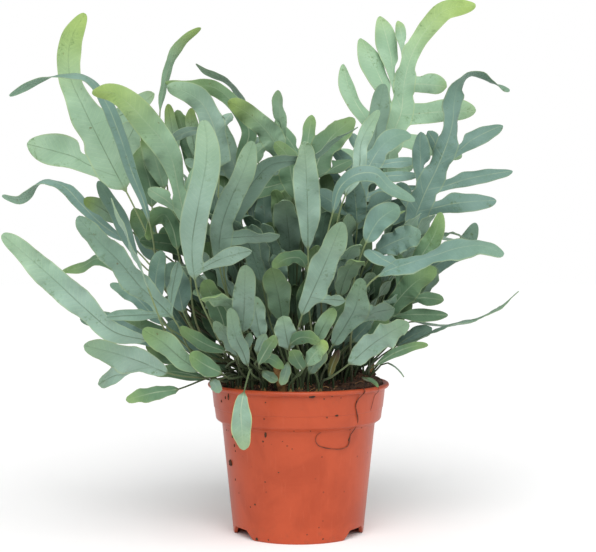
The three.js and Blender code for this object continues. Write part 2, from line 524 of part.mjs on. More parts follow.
// Waves of the margin: none at the midrib, none at the ends.
function ripple(frond, t, v) {
  const phase = frond.phase + (t > 0 ? 1.9 : 0);
  const wave = Math.sin(2 * Math.PI * frond.waves * v + phase);
  return BLADE.ripple * frond.wavy * wave * Math.abs(t) ** 1.5 * Math.sqrt(Math.max(0, Math.sin(Math.PI * v)));
}

// One closed skin: rows of upper and lower points along the stalk and the blade, and
// lobes that take the place of the side wall between their rows.
function frondGeometry(frond, extra) {
  const J = frond.columns;
  const W = J + 1;
  const spine = frond.spine;
  const { rows, spans } = makeRows(frond, spine);
  const points = [];
  const faces = [];
  const quad = (a, b, c, d) => faces.push(a, b, c, a, c, d);
  const top = (start, r, j) => start + r * 2 * W + j;
  const bottom = (start, r, j) => start + r * 2 * W + W + j;

  rows.forEach((d, r) => {
    const { point, T, N, B } = spine.frameAt(d);
    const v = (d - spine.start) / (spine.end - spine.start);
    const lower = [];
    if (v <= 1e-9) {
      const share = clamp(d / spine.start, 0, 1);
      const radius = THREE.MathUtils.lerp(STALK.footRadius, STALK.topRadius, share) + extra;
      for (let j = 0; j < W; j++) {
        const angle = Math.PI * (1 - (j + 0.5) / W);
        const side = B.clone().multiplyScalar(radius * Math.cos(angle));
        const rise = N.clone().multiplyScalar(radius * Math.sin(angle));
        points.push(point.clone().add(side).add(rise));
        lower.push(point.clone().add(side).sub(rise));
      }
    } else {
      const rib = THREE.MathUtils.lerp(STALK.topRadius, BLADE.rib, smooth(v * 2));
      for (let j = 0; j < W; j++) {
        const t = -1 + (2 * j) / J;
        const half = halfWidth(frond, v, Math.sign(t));
        const lift = -BLADE.camber * half * t * t + ripple(frond, t, v);
        const thick = THREE.MathUtils.lerp(rib, BLADE.edge, Math.min(1, Math.abs(t) * 1.6)) + extra;
        const middle = point.clone().addScaledVector(B, half * t + extra * Math.sign(t))
          .addScaledVector(N, lift);
        points.push(middle.clone().addScaledVector(N, thick));
        lower.push(middle.clone().addScaledVector(N, -thick));
      }
    }
    points.push(...lower);
  });

  const open = new Set();
  spans.forEach(({ pair, first, centre }, number) => {
    const { T, N, B } = spine.frameAt(centre);
    const seenSide = N.y <= 0 ? 1 : -1;
    for (const [key, seen] of [['left', -1], ['right', 1]]) {
      if (!pair[key]) continue;
      const side = seen * seenSide;
      for (let j = 0; j < J; j++) open.add(`${side}:${first + j}`);
      addLobe({ T, N, B }, pair[key], side, first, 12.9898 * (number + 1) + 78.233 * side + 3 * frond.phase);
    }
  });

  // own: an angle whose sine and cosine make this lobe droop, roll and swell its own way
  function addLobe({ T, N, B }, [length, half, angle, bend = 0], side, first, own) {
    const column = side > 0 ? J : 0;
    const rootRow = (j) => (side > 0 ? first + J - j : first + j);
    const rootTop = (j) => top(0, rootRow(j), column);
    const rootBottom = (j) => bottom(0, rootRow(j), column);
    const middleRow = (k) => points[top(0, first + Math.floor(J / 2), column)].clone()
      .add(points[bottom(0, first + Math.floor(J / 2), column)]).multiplyScalar(0.5);
    const origin = middleRow();
    const start = points.length;
    const count = Math.max(2, Math.round(length / GRID.lobeStep));
    const [from, turn] = [rad(angle), rad(bend)];
    const droop = frond.droop * (1 + LOBE.droop * Math.sin(own));
    for (let k = 1; k <= count; k++) {
      const u = BLADE.reach * (1 - (1 - k / count) ** 1.25);
      const heading = from + turn * u;
      // the way out, summed along a steadily turning path
      const along = Math.abs(turn) < 1e-6 ? Math.cos(from) * u
        : (Math.sin(heading) - Math.sin(from)) / turn;
      const out = Math.abs(turn) < 1e-6 ? Math.sin(from) * u
        : (Math.cos(from) - Math.cos(heading)) / turn;
      const shift = T.clone().multiplyScalar(along * length)
        .addScaledVector(B, out * length * side)
        .addScaledVector(N, -droop * length * u * u);
      const forward = T.clone().multiplyScalar(Math.cos(heading))
        .addScaledVector(B, Math.sin(heading) * side)
        .addScaledVector(N, -2 * droop * u).normalize();
      const roll = rad(LOBE.roll) * (Math.cos(own) * u + 0.35 * Math.sin(own) * Math.sin(2 * Math.PI * u));
      const across = forward.clone().cross(N).normalize().applyAxisAngle(forward, roll);
      const above = across.clone().cross(forward);
      const free = smooth(u / 0.4);
      const lower = [];
      for (let j = 0; j < W; j++) {
        const t = -1 + (2 * j) / J;
        const thick = THREE.MathUtils.lerp(BLADE.rib, BLADE.edge, Math.min(1, Math.abs(t) * 1.6)) + extra;
        const root = points[rootTop(j)].clone().add(points[rootBottom(j)]).multiplyScalar(0.5);
        const swell = 1 + LOBE.swell * Math.sin(5 * u + own + 2.1 * Math.sign(t));
        const width = Math.max(half * lobeShare(u) * swell, BLADE.tip);
        const lobe = origin.clone().addScaledVector(across, width * t + extra * Math.sign(t))
          .addScaledVector(above, -BLADE.camber * width * t * t);
        const middle = root.lerp(lobe, free).add(shift);
        points.push(middle.clone().addScaledVector(above, thick));
        lower.push(middle.clone().addScaledVector(above, -thick));
      }
      points.push(...lower);
    }
    const upper = (k, j) => (k === 0 ? rootTop(j) : top(start, k - 1, j));
    const under = (k, j) => (k === 0 ? rootBottom(j) : bottom(start, k - 1, j));
    for (let k = 0; k < count; k++) {
      for (let j = 0; j < J; j++) {
        quad(upper(k, j), upper(k, j + 1), upper(k + 1, j + 1), upper(k + 1, j));
        faces.push(under(k, j), under(k + 1, j + 1), under(k, j + 1));
        faces.push(under(k, j), under(k + 1, j), under(k + 1, j + 1));
      }
      quad(upper(k, J), under(k, J), under(k + 1, J), upper(k + 1, J));
      quad(upper(k, 0), upper(k + 1, 0), under(k + 1, 0), under(k, 0));
    }
    for (let j = 0; j < J; j++) {
      quad(upper(count, j), upper(count, j + 1), under(count, j + 1), under(count, j));
    }
  }

  const end = rows.length - 1;
  for (let r = 0; r < end; r++) {
    for (let j = 0; j < J; j++) {
      quad(top(0, r, j), top(0, r, j + 1), top(0, r + 1, j + 1), top(0, r + 1, j));
      faces.push(bottom(0, r, j), bottom(0, r + 1, j + 1), bottom(0, r, j + 1));
      faces.push(bottom(0, r, j), bottom(0, r + 1, j), bottom(0, r + 1, j + 1));
    }
    if (!open.has(`1:${r}`)) {
      quad(top(0, r, J), bottom(0, r, J), bottom(0, r + 1, J), top(0, r + 1, J));
    }
    if (!open.has(`-1:${r}`)) {
      quad(top(0, r, 0), top(0, r + 1, 0), bottom(0, r + 1, 0), bottom(0, r, 0));
    }
  }
  for (let j = 0; j < J; j++) {
    quad(top(0, 0, j), bottom(0, 0, j), bottom(0, 0, j + 1), top(0, 0, j + 1));
    quad(top(0, end, j), top(0, end, j + 1), bottom(0, end, j + 1), bottom(0, end, j));
  }

  const geometry = new THREE.BufferGeometry();
  geometry.setAttribute('position',
    new THREE.BufferAttribute(Float32Array.from(points.flatMap((p) => p.toArray())), 3));
  geometry.setIndex(faces);
  return geometry;
}

// ---------------------------------------------------------------- laying out the crown

// Free places for a stalk hole, on a slow spiral round the wanted one.
const taken = [];
function freeRoots([x, y], pitch) {
  const free = [];
  for (let i = 0; i < 400 && free.length < ROOT_TRIES; i++) {
    const r = 0.9 * Math.sqrt(i);
    const spot = [x + r * Math.cos(i * 2.4), y + r * Math.sin(i * 2.4)];
    if (Math.hypot(...spot) > ROOT_LIMIT) continue;
    if (taken.some(([a, b, p]) => Math.hypot(a - spot[0], b - spot[1]) < (pitch + p) / 2)) continue;
    free.push(spot);
  }
  return free;
}

// The points that one frond's spine runs through, with its stalk upright in the soil.
function spinePoints(root, stalk, blade) {
  const level = soilLevel(...root);
  return [new THREE.Vector3(...root, level - STALK.depth), new THREE.Vector3(...root, level + STALK.straight),
    ...stalk, ...blade];
}

// A frond that leans out from the pot's axis and bows over, from its row of the rule.
function leaningFrond(node, [turn, reach, height, bow, pairs], start, seed) {
  const draw = draws(500 + seed);
  const [c, s] = [Math.cos(rad(turn)), Math.sin(rad(turn))];
  const swing = 26 * (draw() - 0.5);
  const at = (q) => {
    const out = start + (reach - start) * q ** 1.5;
    const rise = height * Math.sin(rad(bow) * q) / Math.sin(Math.min(rad(bow), Math.PI / 2));
    const aside = swing * q * q;
    return new THREE.Vector3(c * out - s * aside, s * out + c * aside,
      SOIL.rimHeight + SOIL.domeRise + STALK.straight + rise);
  };
  const lobes = [];
  for (let i = 0; i < pairs; i++) {
    const long = 40 * (1 - 0.2 * i) * (0.85 + 0.3 * draw());
    const half = pairs > 2 ? 4.8 : 6;
    const size = (k) => [long * (0.8 + 0.4 * k), half, 60 - 3 * i + 8 * draw(), 10 * (draw() - 0.5)];
    lobes.push({ at: 0.12 + (i * 0.56) / pairs, left: size(draw()), right: size(draw()) });
  }
  return {
    node, tone: ['blue', 'green', 'pale'][seed % 3], root: [c * start, s * start], lobes,
    half: 6.5 + 1.6 * draw(), wing: pairs ? 5.6 : 0, columns: pairs ? GRID.columns : 1, face: [-c, -s, 0.6],
    points: [[at(0.28)], [0.46, 0.62, 0.78, 0.9, 1].map(at)],
  };
}

function backTuft([turn, reach, height, bow, pairs], index) {
  const node = `back_tuft_${index + 1}`;
  const side = index % 2 ? -1 : 1;
  const lower = [turn + side * COMPANION.turn, reach * COMPANION.reach, height * COMPANION.height,
    bow + COMPANION.bow, 0];
  const start = height > BACK_LOW ? 24 : 43;
  return [leaningFrond(node, [turn, reach, height, bow, pairs], start, 2 * index),
    leaningFrond(node, lower, start, 2 * index + 1)];
}

function innerFrond(node, [x, y], seed) {
  const draw = draws(900 + seed);
  const between = ([low, high]) => low + (high - low) * draw();
  const start = Math.hypot(x, y);
  const turn = THREE.MathUtils.radToDeg(Math.atan2(y, x)) + INNER.turn * (draw() - 0.5);
  const row = [turn, start + between(INNER.out), between(INNER.height), between(INNER.bow), 0];
  return leaningFrond(node, row, start, 40 + seed);
}

function prepare(spec, index) {
  const draw = draws(100 + index);
  const [stalk, blade] = spec.points ?? [
    fillDepths([...spec.stalk, ...spec.blade]).slice(0, spec.stalk.length).map(place),
    fillDepths([...spec.stalk, ...spec.blade]).slice(spec.stalk.length).map(place),
  ];
  const lobes = spec.lobes ?? [];
  const frond = {
    columns: GRID.columns, late: 1, ...spec, lobes, phase: 6.28 * draw(), waves: 2 + 2 * draw(),
    wavy: 0.4 + 0.9 * draw(),
    droop: 0.05 + 0.13 * draw(), twist: spec.twist ?? 24 * (draw() - 0.5), tip: blade.at(-1),
  };
  if (spec.wing) frond.lastLobe = lobes.at(-1).at + 0.05;
  frond.route = (root, nudge) => {
    const points = spinePoints(root, stalk.map((q) => q.clone()), blade.map((q) => q.clone()));
    const total = points.length - 1;
    points.forEach((p, i) => {
      const share = Math.max(0, (i - 1) / (total - 1)) ** 1.3;
      if (spec.points) {
        const angle = rad(nudge * NUDGE) * (i > 1 ? 1 : 0);
        p.applyAxisAngle(new THREE.Vector3(0, 0, 1), angle);
      } else {
        p.y += nudge * NUDGE * share;
      }
    });
    return makeSpine(points, 2 + stalk.length, spec.face, frond.twist, frond.late);
  };
  return frond;
}

// ---------------------------------------------------------------- pot and soil

function potProfile() {
  const w = POT.wall;
  const slope = (POT.bodyTopRadius - POT.footRadius) / POT.ledgeBottom;
  const inside = (z) => POT.footRadius + slope * z - w;
  const floorTop = POT.baseUnder + POT.baseThick;
  return [
    [0, POT.baseUnder],
    [POT.footRadius - POT.footWall, POT.baseUnder],
    [POT.footRadius - POT.footWall, 0],
    [POT.footRadius, 0],
    [POT.bodyTopRadius, POT.ledgeBottom],
    [POT.bandBottomRadius, POT.bandBottom],
    [POT.bandBottomRadius + 0.75, POT.grooveHeight - 0.3],
    [POT.bandBottomRadius + 1.1, POT.grooveHeight + 0.3],
    [POT.bandTopRadius, POT.height - 3.2],
    [POT.lipRadius - 0.7, POT.height - 3],
    [POT.lipRadius, POT.height - 1.7],
    [POT.lipRadius - 0.6, POT.height - 0.3],
    [POT.lipRadius - 1.8, POT.height],
    [POT.bandTopRadius - w - 0.3, POT.height - 0.8],
    [POT.bandTopRadius - w, POT.height - 3.2],
    [POT.bandBottomRadius - w, POT.bandBottom + 0.6],
    [POT.bodyTopRadius - w, POT.ledgeBottom + 0.5],
    [inside(floorTop), floorTop],
    [0, floorTop],
  ];
}

function makePot() {
  let pot = solidOf(latheSolid(potProfile(), POT.sides));
  const half = POT.notchWidth / 2;
  for (let i = 0; i < POT.notchCount; i++) {
    const outline = new THREE.Shape([
      new THREE.Vector2(-half, -2), new THREE.Vector2(half, -2), new THREE.Vector2(half, 0.2),
      new THREE.Vector2(half - POT.notchTop, POT.notchTop), new THREE.Vector2(POT.notchTop - half, POT.notchTop),
      new THREE.Vector2(-half, 0.2),
    ]);
    const cut = new THREE.ExtrudeGeometry(outline, { depth: 12, bevelEnabled: false });
    cut.rotateX(Math.PI / 2);
    cut.translate(0, POT.footRadius + 6, 0);
    cut.rotateZ(rad(120 * i));
    // only the foot ring is cut: the raised base behind it stays whole
    const keep = new THREE.CylinderGeometry(POT.footRadius - POT.footWall - 0.6,
      POT.footRadius - POT.footWall - 0.6, 20, POT.sides);
    keep.rotateX(Math.PI / 2);
    pot = pot.subtract(solidOf(cut).subtract(solidOf(keep)));
  }
  for (let i = 0; i < POT.drainHoles; i++) {
    const angle = rad(30 + (360 * i) / POT.drainHoles);
    const hole = new THREE.CylinderGeometry(POT.drainRadius, POT.drainRadius, 12, 8);
    hole.rotateX(Math.PI / 2);
    hole.translate(POT.drainCircle * Math.cos(angle), POT.drainCircle * Math.sin(angle), POT.baseUnder);
    pot = pot.subtract(solidOf(hole));
  }
  return pot;
}

function makeGround() {
  const gap = SOIL.gap + POT.wall;
  const slope = (POT.bodyTopRadius - POT.footRadius) / POT.ledgeBottom;
  const bottom = POT.baseUnder + POT.baseThick + SOIL.gap;
  const edge = THREE.MathUtils.lerp(POT.bandBottomRadius, POT.bandTopRadius,
    (SOIL.rimHeight - POT.bandBottom) / (POT.height - 3.2 - POT.bandBottom)) - gap - 0.1;
  const rings = [0.8, 0.52, 0.26];
  const profile = [
    [0, bottom],
    [POT.footRadius + slope * bottom - gap - 0.1, bottom],
    [POT.bodyTopRadius - gap - 0.1, POT.ledgeBottom + 0.4],
    [POT.bandBottomRadius - gap - 0.1, POT.bandBottom + 1.4],
    [edge, SOIL.rimHeight],
    ...rings.map((share) => [edge * share, SOIL.rimHeight + 1]),
    [0, SOIL.rimHeight + 1],
  ];
  const ground = latheSolid(profile, SOIL.sides);
  const p = ground.attributes.position;
  for (let i = 0; i < p.count; i++) {
    if (p.getZ(i) > SOIL.rimHeight + 0.5) p.setZ(i, soilLevel(p.getX(i), p.getY(i)));
  }
  return solidOf(ground);
}

function stalkHole(spot, radius) {
  const height = SOIL.holeDepth + 20;
  const hole = new THREE.CylinderGeometry(radius, radius, height, SOIL.holeSides);
  hole.rotateX(Math.PI / 2);
  hole.translate(spot[0], spot[1], soilLevel(...spot) - SOIL.holeDepth + height / 2);
  return solidOf(hole);
}

// How far the stalks of a tuft stand from its middle: side by side on a ring.
function tuftSpread(count) {
  return (STALK.footRadius + STUB.between / 2) / Math.sin(Math.PI / count);
}

// Where on that ring each stalk stands: in the order of the ways the fronds go, with the
// ring turned to suit them best, so that few stalks cross.
function tuftAngles(fronds, spot) {
  const way = fronds.map(({ tip }) => Math.atan2(tip.y - spot[1], tip.x - spot[0]));
  const order = way.map((_, i) => i).sort((a, b) => way[a] - way[b]);
  const share = way.map((_, i) => (2 * Math.PI * order.indexOf(i)) / way.length);
  const turn = Math.atan2(
    way.reduce((sum, w, i) => sum + Math.sin(w - share[i]), 0),
    way.reduce((sum, w, i) => sum + Math.cos(w - share[i]), 0),
  );
  return share.map((angle) => angle + turn);
}

function stubRadius(count) {
  return tuftSpread(count) + STALK.footRadius + STUB.round;
}

function holeRadius(count) {
  return count > 1 ? stubRadius(count) / Math.cos(Math.PI / SOIL.holeSides) + 0.1 : SOIL.holeRadius;
}

function rhizomeStub(spot, count) {
  const radius = stubRadius(count);
  const stub = new THREE.CylinderGeometry(radius, radius, STUB.top - STUB.foot, STUB.sides);
  stub.rotateX(Math.PI / 2);
  stub.translate(spot[0], spot[1], soilLevel(...spot) + (STUB.top + STUB.foot) / 2);
  return solidOf(stub);
}

// ---------------------------------------------------------------- putting it together

const specs = [...FRONDS, ...BACK.flatMap(backTuft)];
const nodes = new Map();
specs.forEach((spec, index) => {
  if (!nodes.has(spec.node)) nodes.set(spec.node, []);
  nodes.get(spec.node).push({ spec, index });
});
let added = 0;
for (const [node, members] of nodes) {
  if (members.length < 2) continue;
  const count = clamp(INNER.inAll - members.length, 0, INNER.most);
  for (let i = 0; i < count; i++, added++) {
    members.push({ spec: innerFrond(node, members[0].spec.root, added), index: specs.length + added });
  }
}

const pot = makePot();
const ground = makeGround();
const holes = [];
const placed = [];

const overlaps = (a, b) => {
  const [p, q] = [a.boundingBox(), b.boundingBox()];
  if ([0, 1, 2].some((i) => p.min[i] > q.max[i] || q.min[i] > p.max[i])) return false;
  return a.intersect(b).volume() > 1e-6;
};

// One frond on one root: the first nudge that is clear of the soil, the pot and the
// fronds placed before.
function clearFrond(frond, root, soil) {
  const order = [0];
  for (let k = 1; k <= MAX_NUDGES; k++) order.push(k, -k);
  for (const nudge of order) {
    frond.spine = frond.route(root, nudge);
    const thin = solidOf(frondGeometry(frond, 0));
    if (overlaps(thin, soil)) continue;
    const fat = solidOf(frondGeometry(frond, CLEARANCE));
    if (overlaps(fat, pot) || placed.some((other) => overlaps(fat, other))) continue;
    return thin;
  }
  return null;
}

// A node's fronds on one root, joined by a stub of rhizome where there are several.
function growNode(fronds, spot) {
  const tuft = fronds.length > 1;
  const hole = stalkHole(spot, holeRadius(fronds.length));
  const soil = ground.subtract(hole);
  const solids = [];
  const aside = tuft ? tuftSpread(fronds.length) : 0;
  const angles = tuftAngles(fronds, spot);
  for (const [i, frond] of fronds.entries()) {
    const root = [spot[0] + aside * Math.cos(angles[i]), spot[1] + aside * Math.sin(angles[i])];
    const solid = clearFrond(frond, root, soil);
    if (!solid) return null;
    solids.push(solid);
  }
  const stub = tuft ? [rhizomeStub(spot, fronds.length)] : [];
  return { hole, solid: wasm.Manifold.union([...stub, ...solids]) };
}

const plantGroup = new THREE.Group();

function addMesh(name, solid, finish) {
  const mesh = new THREE.Mesh(geometryOf(solid), new THREE.MeshStandardMaterial(finish));
  mesh.name = name;
  plantGroup.add(mesh);
}

for (const [name, members] of nodes) {
  const fronds = members.map(({ spec, index }) => prepare(spec, index));
  const pitch = fronds.length > 1 ? 2 * holeRadius(fronds.length) + HOLE_GAP : ROOT_PITCH;
  let grown = null;
  for (const spot of freeRoots(members[0].spec.root, pitch)) {
    grown = growNode(fronds, spot);
    if (!grown) continue;
    taken.push([...spot, pitch]);
    break;
  }
  if (!grown) throw new Error(`${name} finds no clear place`);
  holes.push(grown.hole);
  placed.push(grown.solid);
  addMesh(name, grown.solid, { color: TONES[fronds[0].tone], roughness: 0.55, metalness: 0 });
}

addMesh('pot', pot, { color: '#c35e43', roughness: 0.42, metalness: 0 });
addMesh('soil', holes.reduce((soil, hole) => soil.subtract(hole), ground),
  { color: '#3a2a1e', roughness: 0.95, metalness: 0 });

// The origin is the middle of the bottom of the box round everything.
plantGroup.updateMatrixWorld(true);
const box = new THREE.Box3().setFromObject(plantGroup);
const middle = box.getCenter(new THREE.Vector3());
plantGroup.position.set(-middle.x, -middle.y, -box.min.z);
const fern = new THREE.Group();
fern.add(plantGroup);

export default fern;
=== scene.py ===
# A blue star fern in its nursery pot, dressed for rendering.
#
# This file is a lesson in cells. Cells marked [markdown] explain a step, and the
# short code cells after them do it and print what they made.

# %% [markdown]
# The frame comes first. The plant's solids were already modelled and packed, and
# loading them gives every part its true place in metres. Nothing is fitted by eye:
# each new surface is worked out from the same rules as the solid that it stands for,
# only with far more rows and columns. The box of the solids is measured at once, so
# that the finished plant can be held against it at the end.

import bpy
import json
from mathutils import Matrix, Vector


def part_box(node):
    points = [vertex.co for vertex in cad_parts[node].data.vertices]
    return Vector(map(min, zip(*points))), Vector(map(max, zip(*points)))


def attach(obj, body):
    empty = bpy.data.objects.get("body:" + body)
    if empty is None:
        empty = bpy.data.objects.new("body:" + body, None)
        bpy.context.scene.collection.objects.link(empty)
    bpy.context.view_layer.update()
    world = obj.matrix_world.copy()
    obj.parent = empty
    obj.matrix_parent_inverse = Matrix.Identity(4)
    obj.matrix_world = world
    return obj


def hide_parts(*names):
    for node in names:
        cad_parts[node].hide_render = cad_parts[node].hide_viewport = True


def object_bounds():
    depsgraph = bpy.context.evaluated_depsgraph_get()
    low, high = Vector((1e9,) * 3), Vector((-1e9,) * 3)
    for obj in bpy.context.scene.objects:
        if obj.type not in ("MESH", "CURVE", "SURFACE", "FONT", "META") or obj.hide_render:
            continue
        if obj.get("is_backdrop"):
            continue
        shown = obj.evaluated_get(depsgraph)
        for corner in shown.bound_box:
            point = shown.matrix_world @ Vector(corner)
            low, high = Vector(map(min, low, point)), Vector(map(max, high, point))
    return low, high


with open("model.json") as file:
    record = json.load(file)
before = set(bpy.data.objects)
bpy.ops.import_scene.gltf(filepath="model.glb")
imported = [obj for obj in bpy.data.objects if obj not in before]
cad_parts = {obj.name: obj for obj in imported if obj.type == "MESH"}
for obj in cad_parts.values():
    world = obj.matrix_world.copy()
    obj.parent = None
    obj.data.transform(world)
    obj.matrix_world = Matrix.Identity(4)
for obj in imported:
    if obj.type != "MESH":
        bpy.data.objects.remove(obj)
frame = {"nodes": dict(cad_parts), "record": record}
CAD_BOX = [list(corner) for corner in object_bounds()]

# %% Modules
import json
import math
from functools import cached_property

import bpy
import numpy as np

print("solids:", len(frame["nodes"]), "box", [round(c, 4) for c in CAD_BOX[1]])

# %% [markdown]
# Plant shapes are easier to think about in millimetres round the pot's axis. The pot
# is a turned shape, so the middle of its box is its axis. One helper turns such
# points into the frame's metres.

# %% The pot's axis, and millimetres round it
POT_LOW, POT_HIGH = (np.array(corner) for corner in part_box("pot"))
AXIS = np.array([*(POT_LOW + POT_HIGH)[:2] / 2, 0.0])


def metres(points):
    """Points in mm round the pot's axis, moved to the frame's origin and scaled to metres."""
    return np.asarray(points, float) * 0.001 + AXIS


def solid_points(node):
    """The corners of one packed solid, in mm round the pot's axis."""
    data = bpy.data.objects[node].data
    flat = np.empty(len(data.vertices) * 3)
    data.vertices.foreach_get("co", flat)
    return (flat.reshape(-1, 3) - AXIS) * 1000


def even_turns(count):
    """Angles at even steps round a full turn, as one row."""
    return np.linspace(0, 2 * np.pi, count, endpoint=False)[None, :]


def round_points(radius, turn, height, middle=(0, 0)):
    """Points at a radius, an angle and a height round an upright axis."""
    x, y = middle[0] + radius * np.cos(turn), middle[1] + radius * np.sin(turn)
    return np.stack(np.broadcast_arrays(x, y, height), axis=-1)


def add(name, data):
    """A new object in the scene that shows some data."""
    made = bpy.data.objects.new(name, data)
    bpy.context.scene.collection.objects.link(made)
    return made


print("pot axis at", AXIS.round(5), "metres")

# %% [markdown]
# The camera stands nine tenths of a metre in front of the pot, a little above the
# leaves' middle, and looks very slightly down. A long lens keeps the fronds that lean
# forwards from looking too big. The eye point and the lens are also what the crown was
# laid out with, so they are kept as named values.

# %% Camera
EYE = np.array([-0.3, -900.0, 199.0])     # mm round the pot's axis
PITCH = math.radians(1.93)                # the camera looks down by this angle
FOCAL = 1365.0                            # focal length, in widths of one picture point
PICTURE = (596, 552)                      # picture size in points
SENSOR = 36.0

camera_data = bpy.data.cameras.new("camera")
camera_data.sensor_width = SENSOR
camera_data.lens = SENSOR * FOCAL / PICTURE[0]
camera = add("camera", camera_data)
camera.location = metres(EYE)
camera.rotation_euler = (math.pi / 2 - PITCH, 0, 0)
bpy.context.scene.camera = camera
print("lens", round(camera_data.lens, 2), "mm")

# %% [markdown]
# The plant stands on a plain pale floor that runs back to a white room. Lamps could
# stand all round it, but even light from everywhere flattens a crown of leaves. So a
# dim white world only fills, and one very wide sun comes from high in front: its
# shadows are soft, the outer fronds are bright and the inside stays dark, darker still by
# painted shade in the leaves' colour. A small panel at the right draws the long pale sheen on the pot's edge.
#
# Every finish in the scene is a small tree of nodes. One class holds such a tree while
# it is made, so that a finish can be read as a short recipe.

# %% A finish in the making
class Finish:
    """A node material in the making. Most methods add one node and give back what it puts out."""

    def __init__(self, name):
        self.material = bpy.data.materials.new(name)
        self.material.use_nodes = True
        self.tree = self.material.node_tree
        self.shader = self.tree.nodes["Principled BSDF"]

    def fill(self, target, value):
        """Fills an input: another node's output is linked, a number or colour is written in."""
        if isinstance(value, bpy.types.NodeSocket):
            self.tree.links.new(value, target)
        elif isinstance(value, tuple) and len(value) == 3 and target.type == "RGBA":
            target.default_value = (*value, 1)
        else:
            target.default_value = value

    def node(self, kind, values, **settings):
        """A node with its settings. Its inputs are given in their order, or by name or number."""
        made = self.tree.nodes.new("ShaderNode" + kind)
        for label, setting in settings.items():
            setattr(made, label, setting)
        for key, value in (values.items() if isinstance(values, dict) else enumerate(values)):
            self.fill(made.inputs[key], value)
        return made

    def surface(self, colour, rough, specular=None):
        """Fills the shader: its colour, its roughness and, where it differs, its shine."""
        self.fill(self.shader.inputs["Base Color"], colour)
        self.fill(self.shader.inputs["Roughness"], rough)
        if specular is not None:
            self.shader.inputs["Specular IOR Level"].default_value = specular

    def bumps(self, height, distance, strength):
        """Fine relief under the light."""
        made = self.node("Bump", {"Height": height, "Distance": distance, "Strength": strength})
        self.tree.links.new(made.outputs["Normal"], self.shader.inputs["Normal"])

    @cached_property
    def place(self):
        """A point's own place on the piece, in metres."""
        return self.node("TexCoord", ()).outputs["Object"]

    def carried(self, name):
        """Three numbers that the mesh carries under one name."""
        made = self.node("Attribute", (), attribute_name=name)
        return self.node("SeparateXYZ", [made.outputs["Vector"]]).outputs

    def maths(self, operation, a, b=0.0, c=0.0):
        """One sum on numbers."""
        return self.node("Math", (a, b, c), operation=operation).outputs[0]

    def times(self, a, b):
        """a times b."""
        return self.maths("MULTIPLY", a, b)

    def times_plus(self, a, b, c):
        """a times b, plus c."""
        return self.maths("MULTIPLY_ADD", a, b, c)

    def ramp(self, value, low, high, to_low=0.0, to_high=1.0):
        """An even S from one value at low to another at high."""
        return self.node("MapRange", (value, low, high, to_low, to_high),
                         interpolation_type="SMOOTHSTEP").outputs[0]

    def blend(self, share, a, b, how="MIX"):
        """From colour a to colour b by a share."""
        return self.node("Mix", {0: share, 6: a, 7: b}, data_type="RGBA", blend_type=how).outputs[2]

    def tinted(self, colour, tint):
        """A colour times a tint."""
        return self.blend(1.0, colour, tint, "MULTIPLY")

    def noise(self, scale, detail=3.0, rough=0.5, warp=0.0, where=None):
        """Cloudy noise at a scale per metre."""
        values = {"Vector": where or self.place, "Scale": scale, "Detail": detail,
                  "Roughness": rough, "Distortion": warp}
        return self.node("TexNoise", values).outputs["Fac"]

    def cells(self, scale, feature="DISTANCE_TO_EDGE", where=None):
        """Distances in a pattern of cells at a scale per metre."""
        values = {"Vector": where or self.place, "Scale": scale}
        return self.node("TexVoronoi", values, feature=feature).outputs["Distance"]


def linear(r, g, b):
    """A screen colour from 0 to 255 as the light's own numbers."""
    screen = np.array([r, g, b]) / 255
    low = screen <= 0.04045
    return tuple(float(c) for c in np.where(low, screen / 12.92, ((screen + 0.055) / 1.055) ** 2.4))


print("a finish has these methods:", ", ".join(name for name in vars(Finish) if name[0] != "_"))

# %% Floor
FLOOR_HALF = 4.0                          # metres

floor_mesh = bpy.data.meshes.new("floor")
sides = ((-1, -1), (1, -1), (1, 1), (-1, 1))
floor_mesh.from_pydata([(x * FLOOR_HALF, y * FLOOR_HALF, 0) for x, y in sides], [], [(0, 1, 2, 3)])
pale = Finish("pale_floor")
pale.surface((0.98, 0.98, 0.98), 1.0, specular=0.0)
floor_mesh.materials.append(pale.material)
add("floor", floor_mesh)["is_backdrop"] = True
print("floor", 2 * FLOOR_HALF, "m square")

# %% Light
WORLD_FILL = 0.38                         # the room's light from all sides
SUN_STRENGTH, SUN_SPREAD = 2.85, math.radians(60)


def lamp(name, kind, energy, way, place=(0, 0, 0), **looks):
    """A lamp at a place in mm that shines along a way. Its looks are its size or its spread."""
    data = bpy.data.lights.new(name, kind)
    data.energy = energy
    for label, value in looks.items():
        setattr(data, label, value)
    made = add(name, data)
    made.location = metres(place)
    made.rotation_euler = Vector(way).to_track_quat("-Z", "Y").to_euler()


def white_room(fill):
    """A world that is plain white to the eye and lights the scene with a share of it."""
    world = bpy.data.worlds.new("white_room")
    world.use_nodes = True
    tree = world.node_tree
    seen = tree.nodes.new("ShaderNodeLightPath")
    strength = tree.nodes.new("ShaderNodeMapRange")
    strength.inputs["To Min"].default_value = fill
    strength.inputs["To Max"].default_value = 1.0
    tree.links.new(seen.outputs["Is Camera Ray"], strength.inputs["Value"])
    background = tree.nodes["Background"]
    background.inputs["Color"].default_value = (1, 1, 1, 1)
    tree.links.new(strength.outputs["Result"], background.inputs["Strength"])
    return world


bpy.context.scene.world = white_room(WORLD_FILL)
bpy.context.scene.view_settings.view_transform = "Standard"
lamp("wide_sun", "SUN", SUN_STRENGTH, (0, 0.9, -1), angle=SUN_SPREAD)
lamp("edge_panel", "AREA", 1.6, (-0.9, 0.2, -0.38), (900, -200, 500), size=0.6)
print("room fill", WORLD_FILL, "and sun", SUN_STRENGTH)

# %% [markdown]
# Each frond is named by a few points of a front view, with a depth. The table below
# gives, for each, where its stalk leaves the soil, where the stalk passes, where the
# blade runs, which side it shows, its half-width, and its lobes. A lobe is its length,
# half-width, angle from the midrib and bend, on the left or right of the way the frond
# grows. A table of a few named points is how a maker would note down a living crown,
# and everything fine is worked out from it.

